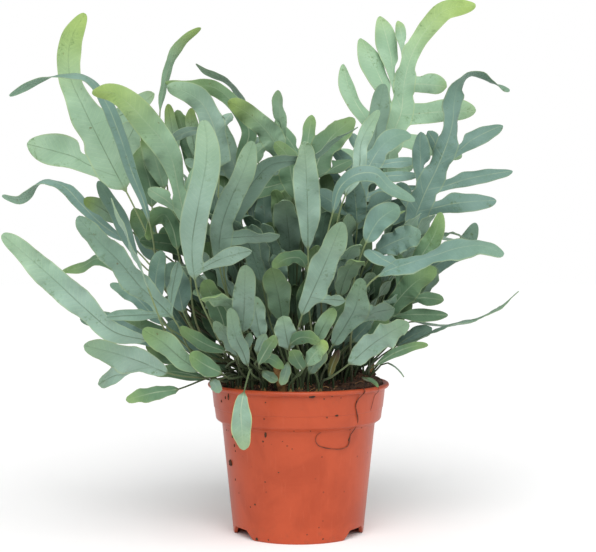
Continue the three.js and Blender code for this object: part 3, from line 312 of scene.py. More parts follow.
# %% The fronds of the crown
UPPER = (0, -1, 0.35)                     # the blade shows its upper side to the front
UNDER = (0, 1, 0.25)                      # the blade shows its underside to the front
# where the tufts grow from the soil, in mm round the axis
TUFT_ROOTS = dict(tuft_01=(13, -45), tuft_02=(44, -18), tuft_03=(-46, 4), tuft_04=(-40, -29),
                  tuft_05=(-25, -45), tuft_06=(-24, 2), tuft_07=(1, -42), tuft_08=(6, -47),
                  tuft_09=(5, -10), tuft_10=(-30, -20))


def grow(node, tone, stalk, face, half, blade, lobes=(), **rest):
    """One row of the table: a frond by its number, or one of a tuft by the tuft's name.

    A lobe is its place along the blade, then its left and right side."""
    node = node if isinstance(node, str) else f"frond_{node:02}"
    sides = [dict(at=at, **{side: values for side, values in (("left", left), ("right", right)) if values})
             for at, left, right in lobes]
    return dict(rest, node=node, tone=tone, root=TUFT_ROOTS.get(node), stalk=stalk, face=face,
                half=half, blade=blade, lobes=sides)


FRONDS = [
    grow(1, "lime", [(185,300,-5)], UNDER, 8.2, [(127,193,-10), (111,163), (96,133), (83,106), (70,75),
         (71,40), (85,13,-8)], wing=10, lobes=[(0.2, (43,10.4,44,4), (20,8,60,0)),
         (0.37, None, (37,6.6,98,-16))]),
    grow(2, "blue", [(165,290,0)], UPPER, 4.4, [(150,225,-25), (143,200), (133,175), (119,134),
         (106,103), (86,77), (58,75.6), (30,84), (9,96,-30)], twist=170, late=2.6),
    grow(3, "lime", [(205,340,-25), (188,240,-28)], (0,-0.8,0.6), 8, [(186,228,-30), (179,193),
         (168,150), (146,122), (112,93), (92,92,-45)], wing=4.2,
         lobes=[(0.14, (20,5,45,0), (22,5,25,0))]),
    grow(4, "lime", [(200,300,12), (165,170,24)], (1,-0.7,0), 4.2, [(160,112,30), (163,92), (170,64),
         (184,40), (201,28,40)]),
    grow(5, "green", [(240,330,9)], UPPER, 5.3, [(243,200,12), (243,156), (249,132), (240,112),
         (213,87), (184,86), (165,82.5,16)]),
    grow(6, "pale", [(255,300,26)], (1,0.4,0), 3.5, [(257,151,38), (255,141), (244,104), (230,83),
         (204,70.5), (196,64,50)]),
    grow(7, "pale", [(214,330,-45), (197,290,-55)], UNDER, 8.3, [(195,280,-58), (192,249),
         (199,201,-66), (206,163), (207,140), (204,120,-54)], lobes=[(0.09, None, (36,5,63,0))]),
    grow(8, "pale", [(214,300,-5), (217,215,2)], (0,-0.8,0.5), 7.4, [(219,168,5), (217,140), (210,117),
         (199,100), (184,91), (167,86,0)], wing=7.6, lobes=[(0.4, (25,3.6,75,40), (8,3.5,60,0))]),
    grow(9, "pale", [(250,380,-36), (228,300,-45)], UNDER, 7, [(220,268,-52), (222,225,-58), (230,201),
         (243,172,-64), (253,141,-60)], lobes=[(0.25, None, (30,6,80,0))]),
    grow(10, "blue", [(248,340,-40)], (0,0.5,0.8), 4.4, [(226,235,-50), (236,206), (250,186),
         (268,166,-54), (312,157), (332,142), (358,127,-40)], wing=8, twist=50,
         lobes=[(0.36, (13,4.5,48,0), None)]),
    grow(11, "lime", [(292,300,5)], UPPER, 7, [(286,168,2), (274,141), (249,114), (228,101,-6)],
         lobes=[(0.35, (16,5,100,0), (28,5,30,0))]),
    grow(12, "green", [(304,300,20)], UPPER, 5, [(306,165,34), (308,140), (312,115,42)],
         lobes=[(0.22, (34,4.6,42,-12), None)]),
    grow(13, "green", [(308,330,0)], UPPER, 9.4, [(313,180,8), (321,154), (330,139), (354,118,18)],
         lobes=[(0.16, None, (19,5.5,52,-8))]),
    grow("tuft_09", "green", [(298,330,-15)], (0,-0.7,0.7), 6, [(295,200,-20), (292,180), (285,152),
         (275,142,-15)], lobes=[(0.3, (27,6.5,95,0), (14,6,70,0))]),
    grow(15, "lime", [(350,330,22), (372,240,36)], UPPER, 7.2, [(386,180,42), (390,150), (394,132),
         (401,113), (404,85), (411,57), (430,25), (443,11), (476,5,44)], wing=5.9,
         lobes=[(0.07, (32,7,75,0), (13,6.5,80,0)), (0.2, (66,6.4,64,-48), (45,7.8,86,14)),
         (0.33, (63,8.6,34,-2), (48,8.6,74,0)), (0.46, (58,7.6,21,0), (25,7.4,82,0)),
         (0.6, (26,3.8,31,0), None)]),
    grow(16, "blue", [(380,300,0)], UPPER, 6.6, [(408,236,5), (426,191), (438,166), (453,119),
         (454,103), (459,84), (472,75), (488,81), (510,91,10)], wing=6.4, twist=165, late=3.2,
         lobes=[(0.15, (15,5,60,0), (45,6.8,58,8)), (0.27, (30,6.4,36,-14), (50,5.4,48,6)),
         (0.43, (11,4,54,0), (38,6,34,16))]),
    grow(17, "blue", [(345,330,5)], UNDER, 7.8, [(368,200,20), (372,172), (378,115), (384,84,34)],
         twist=0),
    grow(18, "pale", [(330,300,-25)], UNDER, 4.6, [(345,196,-28), (359,168), (361,143.5),
         (379,110,-22)]),
    grow(19, "blue", [(322,320,-35)], (0,-0.7,0.7), 4.8, [(333,212,-45), (342,185), (358,174),
         (376,174), (388,186), (415,201,-42)]),
    grow(20, "blue", [(345,300,-18)], UPPER, 6, [(357,225,-22), (356,205), (352,172,-22)],
         lobes=[(0.25, (25,6,55,0), (20,7,70,0))]),
    grow(21, "blue", [(350,300,-35)], UPPER, 7.5, [(366,243,-42), (380,219), (399,206,-42)]),
    grow(22, "blue", [(352,330,-22)], UPPER, 8, [(376,252,-34), (399,240), (421,232.5,-36)]),
    grow(23, "green", [(370,340,-20)], UPPER, 5.5, [(405,290,-25), (418,262), (436,231), (441,212,-25)],
         lobes=[(0.6, None, (16,3.5,60,0))]),
    grow(24, "blue", [(385,330,15)], UPPER, 6.4, [(415,282,30), (437,265), (461,250), (476,223,44)],
         twist=0),
    grow(25, "blue", [(352,330,-45)], (0,-0.6,0.8), 8.6, [(378,276,-60), (408,264), (434,256),
         (459,248), (483,246), (504,255,-60)], lobes=[(0.12, (29,6.6,118,0), None)]),
    grow(26, "pale", [(297,345,-48)], UNDER, 8, [(302,315,-58), (311,295), (330,252), (342,222,-66)],
         lobes=[(0.25, None, (14,4,70,0))]),
    grow(27, "pale", [(325,360,-50)], UNDER, 6.6, [(333,345,-55), (345,326), (355,308), (361,278,-58)],
         lobes=[(0.58, None, (18,6.4,54,0))]),
    grow("tuft_01", "pale", [(330,378,-56)], UNDER, 7.6, [(349,364,-70), (375,342), (392,331),
         (408,322,-75)]),
    grow("tuft_01", "green", [(310,360,-53)], UNDER, 4.8, [(316,342,-58), (322,329), (334,308,-58)]),
    grow("tuft_02", "green", [], UPPER, 3, [(376,365,-35), (399,351), (415,346), (428,345,-40)]),
    grow("tuft_02", "pale", [(395,350,-14)], (0,0,1), 3.5, [(403,345,-12), (420,338), (445,326),
         (478,318), (497,309), (519,291,-12)]),
    grow(28, "pale", [], (0,0.3,1), 3.4, [(410,322,14), (439,325), (459,324), (487,315), (500,306,34)]),
    grow(29, "green", [(360,360,-25)], UPPER, 6.6, [(385,318,-32), (398,300), (411,286), (436,268,-32)],
         lobes=[(0.13, None, (33,4.3,56,0)), (0.52, (18,4.5,52,0), (18,4.5,52,0))]),
    grow(30, "pale", [(215,372,-15), (180,352,-20)], (0,1,0.2), 8.4, [(150,341,-25), (115,332),
         (86,309), (57,282), (29,257), (2,234,-30)]),
    grow(31, "blue", [(196,362,-2)], UPPER, 6.5, [(160,345,-8), (132,334), (105,322), (80,318,-6)]),
    grow(32, "blue", [(205,370,-30), (189,349,-40)], UNDER, 8, [(173,318,-48), (162,306), (142,288),
         (119,261), (96,238), (78,216,-50)], lobes=[(0.1, (32,3.8,53,0), (29,4,53,0))]),
    grow(33, "blue", [(200,340,5), (150,265,5)], UPPER, 5, [(128,243,14), (101,224), (82,205), (63,186),
         (44,180), (20,199), (2,196,30)], twist=150, late=3),
    grow("tuft_03", "green", [(190,350,8)], UPPER, 4.5, [(130,280,18), (96,259), (82,267),
         (62,271,30)]),
    grow("tuft_03", "blue", [], UPPER, 4.5, [(165,325,-15), (150,312), (134,296), (110,284,-18)]),
    grow(34, "pale", [(195,360,-22)], (1,0.4,0.2), 3.8, [(149,290,-60), (140,265), (126,232),
         (112,198,-55)]),
    grow("tuft_04", "pale", [(205,378,-48)], UNDER, 8, [(168,373,-62), (143.5,362.6), (115,353),
         (84,345,-70)], lobes=[(0.45, (18,5.5,35,0), None)]),
    grow("tuft_04", "green", [(212,378,-46)], UNDER, 6.8, [(200,371,-50), (182,359), (163,342),
         (143,329,-52)]),
    grow(35, "green", [(205,379,-30), (190,385,-36)], UPPER, 4.8, [(179,389,-40), (153,393),
         (126,400,-46)]),
    grow(36, "lime", [(250,370,-53), (247,380,-63)], UPPER, 6, [(244,392,-68), (241,410,-70),
         (242,430,-69), (244,450,-66)]),
    grow("tuft_05", "pale", [(252,374,-50)], UNDER, 4.7, [(248,366,-52), (243,352), (237,340),
         (230,308,-62)]),
    grow("tuft_05", "green", [], UPPER, 3.4, [(258,360,-56), (268,358), (284,368,-60)]),
    grow(37, "green", [(228,378,-42)], UPPER, 6.2, [(222,373,-48), (208,366), (190,354,-52)]),
    grow(38, "pale", [(240,365,-35)], UNDER, 7, [(243,332,-45), (245,310), (246,290), (247,264,-50)]),
    grow(39, "blue", [(272,350,-25)], UNDER, 6.5, [(274,303,-32), (276,285), (278,268), (280,248,-32)]),
    grow(40, "green", [(300,330,-45)], UPPER, 4.5, [(306,268,-55), (300,258), (288,258),
         (272,267,-60)]),
    grow("tuft_06", "green", [(195,330,0)], UPPER, 6, [(178,250,-12), (172,225), (165,214), (155,222),
         (150,240,-14)]),
    grow("tuft_06", "blue", [(190,320,14)], UPPER, 8, [(160,262,24), (150,245), (143,228),
         (146,208,34)]),
    grow("tuft_10", "blue", [(190,350,-40)], UPPER, 5.5, [(156,308,-50), (153,286), (158,251,-52)]),
    grow("tuft_07", "green", [], UPPER, 4.4, [(290,345,-55), (302,337), (320,341,-66)]),
    grow("tuft_07", "pale", [], UNDER, 6.5, [(289,350,-52), (286,334), (283,316,-58)]),
    grow("tuft_08", "lime", [], UPPER, 5, [(306,366,-58), (314,354), (327,342,-62)]),
    grow("tuft_08", "green", [], UPPER, 4.5, [(303,370,-60), (298,362), (292,350,-66)]),
    grow(14, "green", [], UPPER, 3.8, [(259,364,-54), (266,350), (276,334,-60)]),
    grow("tuft_06", "green", [(190,318,12)], UPPER, 9, [(152,207,16), (150,185), (144,165),
         (139,141,24)]),
    grow("tuft_06", "green", [(204,300,16)], UPPER, 7, [(197,180,28), (193,157), (187,136),
         (181,114,36)]),
    grow("tuft_06", "lime", [(192,310,10)], UPPER, 7.2, [(166,190,22), (160,168), (155,148),
         (150,130,30)]),
    grow("tuft_10", "blue", [(205,345,-25)], UPPER, 8, [(184,312,-28), (181,296), (177,280),
         (172,262,-32)]),
    grow("tuft_10", "green", [(225,360,-20)], UPPER, 7, [(226,335,-24), (222,318), (214,300),
         (204,280,-28)]),
    grow("tuft_10", "pale", [(226,366,-30)], UNDER, 5.5, [(238,356,-36), (233,343), (226,331),
         (217,319,-40)]),
    grow("tuft_09", "blue", [(300,310,-14)], UPPER, 7.5, [(302,240,-14), (306,220), (310,200),
         (314,178,-8)]),
    grow("tuft_09", "green", [(306,330,-5)], UPPER, 7, [(318,262,0), (322,244), (328,226),
         (334,206,6)]),
    grow("tuft_02", "green", [(362,350,-14)], UPPER, 8, [(352,322,-10), (346,300), (342,278),
         (339,256,0)]),
    grow("tuft_02", "pale", [(392,340,6)], UNDER, 6.5, [(412,304,16), (420,290), (429,278),
         (435,266,24)]),
    grow("tuft_07", "pale", [(280,365,-46)], UNDER, 6, [(262,340,-48), (258,325), (256,312),
         (253,296,-50)]),
    grow("tuft_03", "green", [(196,358,0)], UPPER, 7, [(184,348,2), (164,338), (140,327), (117,314,8)]),
]
print(len(FRONDS), "fronds laid out by hand")

# %% [markdown]
# The back of the crown follows a rule. Each tuft has a tall lobed frond and a lower
# simple one, which lean out from the pot's axis and bow over under their own weight.
# Short fronds between them fill the crown: up to two in each tuft, and fewer where it has
# many fronds of its own. The draws come from one repeatable stream of numbers, so that
# the plant is the same each time.

# %% Tufts by rule
# turn round the pot in degrees, reach of the tip, height of the top, bow, pairs of lobes
BACK = [
    (80, 92, 160, 94, 3), (106, 78, 172, 84, 2), (134, 96, 104, 104, 2), (48, 108, 122, 104, 2),
    (26, 122, 92, 110, 2), (94, 136, 98, 114, 3), (64, 136, 66, 120, 2), (122, 138, 64, 122, 2),
]
BACK_LOW = 110                            # lower tufts than this grow near the pot's wall
START_INSIDE, START_OUTSIDE = 24, 43      # how far from the axis the two kinds grow
COMPANION = dict(turn=21, reach=0.86, height=0.55, bow=16)
INNER = dict(out=(18, 62), height=(48, 150), bow=(55, 100), turn=90)
MOST_INNER, TUFT_IN_ALL = 2, 6            # short fronds in a tuft, and its fronds in all
LEAN_SEED, INNER_SEED = 500, 900          # where the draws of the two kinds start
SWING = 26                                # mm that tips swing aside between them
LONGEST_LOBE, LOBE_ANGLE, LOBE_BEND = 40, 60, 10

SOIL_RIM, SOIL_DOME, SOIL_LUMPS = 95.8, 3.5, 1.3
SOIL_REACH = 57.25                        # the dome falls to the rim at this radius
STALK_DEPTH, STALK_STRAIGHT = 5, 6        # the stalk's length in the soil, and upright above it
BITS = 0xFFFFFFFF


def draws(seed):
    """Repeatable numbers from 0 to 1: a 32-bit counter goes up by a fixed odd step and is mixed."""
    state = seed & BITS
    while True:
        state = (state + 0x6D2B79F5) & BITS
        t = ((state ^ (state >> 15)) * (state | 1)) & BITS
        t ^= (t + (((t ^ (t >> 7)) * (t | 61)) & BITS)) & BITS
        yield ((t ^ (t >> 14)) & BITS) / 4294967296


def soil_level(x, y):
    """Height of the soil: a low dome, highest at the axis, with slow waves that die out at the wall."""
    r = np.hypot(x, y) / SOIL_REACH
    lump = np.sin(x * 0.19 + 1.3) * np.cos(y * 0.23) + 0.6 * np.sin((x + y) * 0.41)
    return SOIL_RIM + SOIL_DOME * (1 - r * r) + SOIL_LUMPS * 0.5 * lump * (1 - r ** 6)


def leaning_frond(node, row, start, seed, power=1.5):
    """A frond that leans out from the axis and bows over: height follows a sine, reach a power."""
    turn, reach, height, bow, pairs = row
    draw = draws(LEAN_SEED + seed)
    c, s = math.cos(math.radians(turn)), math.sin(math.radians(turn))
    swing = SWING * (next(draw) - 0.5)
    top = math.sin(min(math.radians(bow), math.pi / 2))

    def path(shares):
        q = np.array(shares, float)
        out = start + (reach - start) * q ** power
        rise = height * np.sin(math.radians(bow) * q) / top
        aside = swing * q * q
        level = SOIL_RIM + SOIL_DOME + STALK_STRAIGHT + rise
        return np.stack([c * out - s * aside, s * out + c * aside, level], axis=-1)

    lobes = []
    for i in range(pairs):
        long = LONGEST_LOBE * (1 - 0.2 * i) * (0.85 + 0.3 * next(draw))
        pair = dict(at=0.12 + i * 0.56 / pairs)
        for side in ("left", "right"):
            length = long * (0.8 + 0.4 * next(draw))
            angle = LOBE_ANGLE - 3 * i + 8 * next(draw)
            pair[side] = (length, 4.8 if pairs > 2 else 6, angle, LOBE_BEND * (next(draw) - 0.5))
        lobes.append(pair)
    return dict(node=node, tone=("blue", "green", "pale")[seed % 3], root=(c * start, s * start),
                lobes=lobes, half=6.5 + 1.6 * next(draw), wing=5.6 if pairs else 0,
                face=(-c, -s, 0.6), path=(path([0.28]), path([0.46, 0.62, 0.78, 0.9, 1])))


def back_tuft(row, index):
    """A tall lobed frond, and a lower simple one turned a little round the pot from it."""
    turn, reach, height, bow, _ = row
    node = f"back_tuft_{index + 1}"
    side = -1 if index % 2 else 1
    start = START_INSIDE if height > BACK_LOW else START_OUTSIDE
    lower = (turn + side * COMPANION["turn"], reach * COMPANION["reach"],
             height * COMPANION["height"], bow + COMPANION["bow"], 0)
    return [leaning_frond(node, row, start, 2 * index),
            leaning_frond(node, lower, start, 2 * index + 1)]


def inner_frond(node, root, seed):
    """A short simple frond that leans roughly the way its tuft stands from the axis."""
    draw = draws(INNER_SEED + seed)
    start = math.hypot(*root)
    turn = math.degrees(math.atan2(root[1], root[0])) + INNER["turn"] * (next(draw) - 0.5)
    out, height, bow = (low + (high - low) * next(draw)
                        for low, high in (INNER["out"], INNER["height"], INNER["bow"]))
    return leaning_frond(node, (turn, start + out, height, bow, 0), start, 40 + seed)


members = {}
for spec in FRONDS + [frond for i, row in enumerate(BACK) for frond in back_tuft(row, i)]:
    members.setdefault(spec["node"], []).append(dict(spec, index=sum(map(len, members.values()))))
laid_out = sum(map(len, members.values()))
tufts = [node for node, group in members.items() if len(group) > 1]
added = 0
for node in tufts:
    for _ in range(min(MOST_INNER, max(0, TUFT_IN_ALL - len(members[node])))):
        inner = inner_frond(node, members[node][0]["root"], added)
        members[node].append(dict(inner, index=laid_out + added))
        added += 1
print(len(members), "plant pieces,", laid_out + added, "fronds,", len(tufts), "tufts")

# %% [markdown]
# A frond's stalk and midrib are one smooth curve through its points. The curve is a
# chain of cubic pieces whose slopes are averages of the straight runs beside them,
# which is what a bent, springy stalk does. The upper side of the blade is carried along
# the curve without twisting, and then turned where the frond twists, late or evenly.

# %% Points of the front view
STEM = np.array([298.0, 385.0])           # middle of the soil in the front view
SPREAD = 1.15                             # depths grow towards the crown's outside


def on_ray(across, down, depth):
    """Points at some depths on the eye's rays through places in the front view."""
    a = (across - PICTURE[0] / 2) / FOCAL
    b = (PICTURE[1] / 2 - down) / FOCAL
    far = (depth - EYE[1]) / (math.cos(PITCH) + b * math.sin(PITCH))
    up = b * math.cos(PITCH) - math.sin(PITCH)
    return np.stack(np.broadcast_arrays(EYE[0] + a * far, depth, EYE[2] + up * far), axis=-1)


def place(view_points):
    """Front-view points with depth, at their real places. A missing depth lies between the known ones."""
    rows = [point if len(point) > 2 else (*point, np.nan) for point in view_points]
    across, down, depth = np.array(rows, float).T
    known = np.flatnonzero(~np.isnan(depth))
    depth = np.interp(np.arange(len(depth)), known, depth[known])
    outward = np.hypot(across - STEM[0], down - STEM[1]) / STEM[1]
    return on_ray(across, down, depth * (1 + SPREAD * np.minimum(1, outward)))


# %% The smooth curve
SAMPLES = 160


def unit(rows):
    """Rows scaled to length one."""
    return rows / np.linalg.norm(rows, axis=-1, keepdims=True)


def smooth(x):
    """0 below 0, 1 above 1, and an even S between them."""
    c = np.clip(x, 0, 1)
    return c * c * (3 - 2 * c)


def curve_through(points):
    """Samples of the cubic chain through the points, the distance along it, and the knots."""
    gaps = np.linalg.norm(np.diff(points, axis=0), axis=1)
    knots = np.concatenate([[0], np.cumsum(gaps)])
    rates = np.diff(points, axis=0) / gaps[:, None]
    before, after = gaps[:-1, None], gaps[1:, None]
    inner = (rates[1:] * before + rates[:-1] * after) / (before + after)
    slopes = np.vstack([rates[:1], inner, rates[-1:]])
    t = np.linspace(0, knots[-1], SAMPLES + 1)
    i = np.searchsorted(knots[1:-1], t, side="left")
    h = gaps[i]
    u = (t - knots[i]) / h
    parts = [(2 * u ** 3 - 3 * u ** 2 + 1, points[i]), ((u ** 3 - 2 * u ** 2 + u) * h, slopes[i]),
             (3 * u ** 2 - 2 * u ** 3, points[i + 1]), ((u ** 3 - u ** 2) * h, slopes[i + 1])]
    at = sum(weight[:, None] * value for weight, value in parts)
    length = np.concatenate([[0], np.cumsum(np.linalg.norm(np.diff(at, axis=0), axis=1))])
    return at, length, knots


def sample_at(knots, index):
    """The number of the sample that lies nearest to a knot."""
    return int(math.floor(SAMPLES * knots[index] / knots[-1] + 0.5))


class Spine:
    """A frond's curve with its way T, upper side N and right side B at any distance along it."""

    def __init__(self, points, base_index, face, twist, late):
        self.at, self.length, knots = curve_through(points)
        last = SAMPLES
        ends = np.arange(last + 1)
        self.way = unit(self.at[np.minimum(ends + 1, last)] - self.at[np.maximum(ends - 1, 0)])
        base = sample_at(knots, base_index)
        self.up = np.empty_like(self.at)
        self.up[base] = self.square(np.array(face, float), self.way[base])
        for s in range(base + 1, last + 1):
            self.up[s] = self.square(self.up[s - 1], self.way[s])
        for s in range(base - 1, -1, -1):
            self.up[s] = self.square(self.up[s + 1], self.way[s])
        self.start, self.end = self.length[base], self.length[-1]
        self.twist, self.late = math.radians(twist), late

    @staticmethod
    def square(n, t):
        """The part of n that is square to t, at length one."""
        return unit(n - t * np.sum(n * t, axis=-1, keepdims=True))

    def frame(self, distances):
        """Point, T, N and B at each distance."""
        d = np.clip(np.atleast_1d(distances), 0, self.end)
        s = np.clip(np.searchsorted(self.length, d, side="right") - 1, 0, SAMPLES - 1)
        f = ((d - self.length[s]) / (self.length[s + 1] - self.length[s]))[:, None]
        point, T, up = (rows[s] * (1 - f) + rows[s + 1] * f for rows in (self.at, self.way, self.up))
        T = unit(T)
        share = np.clip((d - self.start) / (self.end - self.start), 0, 1)
        turn = (self.twist * share ** self.late)[:, None]
        N = self.square(up, T)
        N = N * np.cos(turn) + np.cross(T, N) * np.sin(turn)
        return point, T, N, np.cross(T, N)


print("curve and carried frame ready,", SAMPLES, "samples a frond")

# %% [markdown]
# The solids were laid out so that no frond crosses another: a few stalks stand a little
# beside their wanted place, and a few fronds lean a step aside. Their real places are
# read back from the solids. The lowest corners of a solid give the stalk's root, and
# the sideways step is the one that brings the frond's tip onto the solid's tip.

# %% Where each solid stands and leans
NUDGE, MOST_NUDGES, NUDGE_POWER = 4, 16, 1.3
STALK_FOOT, STALK_TOP = 0.95, 0.62        # stalk radius at the soil and at the blade
STALK_BETWEEN = 0.16                      # between two neighbouring stalks of a tuft
SOLID_REACH = 0.988                       # the last row of a solid's blade stands this far out
OWN_SEED = 100
# least value and spread of what each frond draws for itself
OWN = dict(phase=(0, 6.28), waves=(2, 2), wavy=(0.4, 0.9), droop=(0.05, 0.13), twist=(-12, 24))


def prepare(spec):
    """A frond with its own waviness, droop and twist, drawn from its place in the list."""
    draw = draws(OWN_SEED + spec["index"])
    frond = dict(spec)
    for name, (low, size) in OWN.items():
        frond[name] = low + size * next(draw)
    frond["twist"] = spec.get("twist", frond["twist"])
    frond["lobes"] = spec.get("lobes", [])
    if "path" not in spec:
        points = place([*spec["stalk"], *spec["blade"]])
        frond["path"] = points[:len(spec["stalk"])], points[len(spec["stalk"]):]
    frond["tip"] = frond["path"][1][-1]
    if spec.get("wing"):
        frond["last_lobe"] = frond["lobes"][-1]["at"] + 0.05
    return frond


def route(frond, root, nudge):
    """The points a frond runs through from one root, leaned aside by a number of steps."""
    level = soil_level(*root)
    foot = [(*root, level - STALK_DEPTH), (*root, level + STALK_STRAIGHT)]
    points = np.vstack([foot, *frond["path"]])
    if "stalk" in frond:
        share = (np.arange(len(points)) - 1) / (len(points) - 2)
        points[:, 1] += nudge * NUDGE * np.maximum(0, share) ** NUDGE_POWER
        return points
    a = math.radians(nudge * NUDGE)
    x, y = points[2:, 0].copy(), points[2:, 1].copy()
    points[2:, 0] = x * math.cos(a) - y * math.sin(a)
    points[2:, 1] = x * math.sin(a) + y * math.cos(a)
    return points


def root_of(solid):
    """The middle of the lowest ring in the soil: of a stalk's corners, or of a tuft's stub."""
    inside = solid[np.hypot(solid[:, 0], solid[:, 1]) < SOIL_REACH]
    ring = inside[inside[:, 2] < inside[:, 2].min() + 0.3]
    return (ring.min(0) + ring.max(0))[:2] / 2


def stalk_roots(fronds, spot):
    """Where the stalks of a tuft stand: side by side on a ring, in the order of the ways they go.

    The ring is turned by the mean of the angles between each frond's way and its even share."""
    if len(fronds) == 1:
        return [tuple(spot)]
    way = np.array([math.atan2(frond["tip"][1] - spot[1], frond["tip"][0] - spot[0]) for frond in fronds])
    share = 2 * math.pi * np.argsort(np.argsort(way)) / len(way)
    turn = share + math.atan2(np.sin(way - share).sum(), np.cos(way - share).sum())
    spread = (STALK_FOOT + STALK_BETWEEN / 2) / math.sin(math.pi / len(way))
    return list(zip(spot[0] + spread * np.cos(turn), spot[1] + spread * np.sin(turn)))


def lean_of(frond, root, solid):
    """The step aside that brings the blade's end nearest to a corner of the solid."""
    best = (1e9, 0)
    for nudge in sorted(range(-MOST_NUDGES, MOST_NUDGES + 1), key=abs):
        at, length, knots = curve_through(route(frond, root, nudge))
        base = sample_at(knots, 2 + len(frond["path"][0]))
        wanted = length[base] + SOLID_REACH * (length[-1] - length[base])
        tip = np.array([np.interp(wanted, length, at[:, axis]) for axis in range(3)])
        gap = np.linalg.norm(solid - tip, axis=1).min()
        if gap < best[0] - 0.05:
            best = (gap, nudge)
    return best


def stand(frond, root, nudge=0):
    """Sets a frond on its root: from now on it has a spine."""
    points, first_of_blade = route(frond, root, nudge), 2 + len(frond["path"][0])
    frond["spine"] = Spine(points, first_of_blade, frond["face"], frond["twist"], frond.get("late", 1))
    frond["root"] = root


crown = {}
worst = 0
for node, group in members.items():
    solid = solid_points(node)
    fronds = [prepare(spec) for spec in group]
    for frond, root in zip(fronds, stalk_roots(fronds, root_of(solid))):
        gap, nudge = lean_of(frond, root, solid)
        worst = max(worst, gap)
        stand(frond, root, nudge)
    crown[node] = fronds
print("every tip found within", round(worst, 3), "mm")

# %% [markdown]
# A frond could be a flat leaf picture, but a real blade has a thickness, a midrib that
# stands out below, waved margins and a bowed section, and all of these show against
# the light. So each frond is one closed skin: rows of upper and lower points along the
# stalk and the blade. A lobe grows out of the margin: its first row is the blade's own
# margin, and the wall that would lie there is left out, so that no gap can open.

# %% The outline of a blade
BLADE_RISE, BLADE_FALL = 0.55, 0.44
LOBE_RISE, LOBE_FALL, LOBE_LEAD = 0.8, 0.5, 0.35
TIP_HALF = 0.5                            # least half-width near a tip
REACH = 0.998                             # the last row stands this far out
CAMBER, RIPPLE, BROAD = 0.13, 2.3, 6.5    # blades narrower than BROAD have lower waves
BLADE_SWELL, LOBE_SWELL = 0.11, 0.14      # how far an outline swells and narrows on its way
LOBE_DROOP, LOBE_ROLL = 1.2, 42           # how far single lobes differ from each other
SHOULDER, SHOULDER_RUN = 0.3, 0.75        # of a lobe's half-width: the round corner beside its root
COLUMNS = 10                              # columns across a blade
STALK_STEP, BLADE_STEP, LOBE_STEP = 5.0, 2.4, 2.2
LOBE_SPREAD, LOBE_MARGIN = 0.8, 0.8
LOBE_TIP_LOW = 0.2                        # how far along towards the frond's tip a lobe's root counts
# painted shade: leaves inside an egg round the crown's middle are darkened in colour
SHADE_EGG_MIDDLE, SHADE_EGG_SIZE = np.array([0, 12, 150]), np.array([120, 86, 122])
# the second value is painted shade, what the deepest leaf keeps; the first is what the oldest leaf keeps
OLD_BRIGHT, PAINTED_SHADE_DEEPEST = 0.5, 0.32       # what the oldest and the deepest leaf keep
# the share of the egg over which the painted shade deepens
PAINTED_SHADE_RUN = 0.6                            # the share of the egg over which leaves get duller
# painted shade on the stalks: what a stalk keeps at the soil, and how far up the shade reaches
STALK_SHADE_KEEP, STALK_SHADE_REACH = 0.3, 45           # what a stalk keeps at the soil, and how far up that reaches
STALK_SLIM = 0.8                          # a stalk's skin lies within the stouter solid

steps = np.linspace(-1, 1, COLUMNS + 1)
ACROSS = steps * (0.4 + 0.6 * np.abs(steps))   # columns lie closer together at the midrib


def blade_share(v):
    """Half-width of a simple blade as a share: a power of v rising, a power of 1 - v falling."""
    widest = BLADE_RISE / (BLADE_RISE + BLADE_FALL)
    return (v / widest) ** BLADE_RISE * ((1 - v) / (1 - widest)) ** BLADE_FALL


def lobe_share(u):
    """Half-width of a lobe as a share: it starts broad, swells a little and ends blunt."""
    widest = (LOBE_RISE - LOBE_FALL * LOBE_LEAD) / (LOBE_RISE + LOBE_FALL)
    rise = ((u + LOBE_LEAD) / (widest + LOBE_LEAD)) ** LOBE_RISE
    return rise * ((1 - u) / (1 - widest)) ** LOBE_FALL


def mix(a, b, share):
    """From a to b by a share."""
    return a * (1 - share) + b * share


def half_width(frond, v, side):
    """Half-width along one side: narrow between deep lobes where the frond has a wing, times a
    slow sine that makes the outline swell and narrow."""
    inside = np.clip(v, 1e-6, 1)
    width = frond["half"] * blade_share(inside)
    if frond.get("wing"):
        between = frond["wing"] * np.minimum(1, inside / 0.07) ** 0.6
        u = np.clip((inside - frond["last_lobe"]) / (1 - frond["last_lobe"]), 0, 1)
        width = mix(between, frond["half"] * lobe_share(u), smooth(u / 0.3))
    swell = np.sin(2 * np.pi * 0.55 * frond["waves"] * inside + frond["phase"] + 2.1 * side)
    return np.maximum(width * (1 + BLADE_SWELL * swell), TIP_HALF)


def shoulders(lobes, rows, side):
    """Extra half-width where lobes grow: full along a lobe's root, and an even S beside it."""
    extra = np.zeros(np.broadcast_shapes(rows.shape, side.shape))
    for lobe in lobes:
        half = lobe["shape"][1]
        outside = (np.abs(rows - lobe["centre"]) - lobe["reach"]) / (SHOULDER_RUN * half)
        extra = np.maximum(extra, np.where(side == lobe["side"], SHOULDER * half * smooth(1 - outside), 0))
    return extra


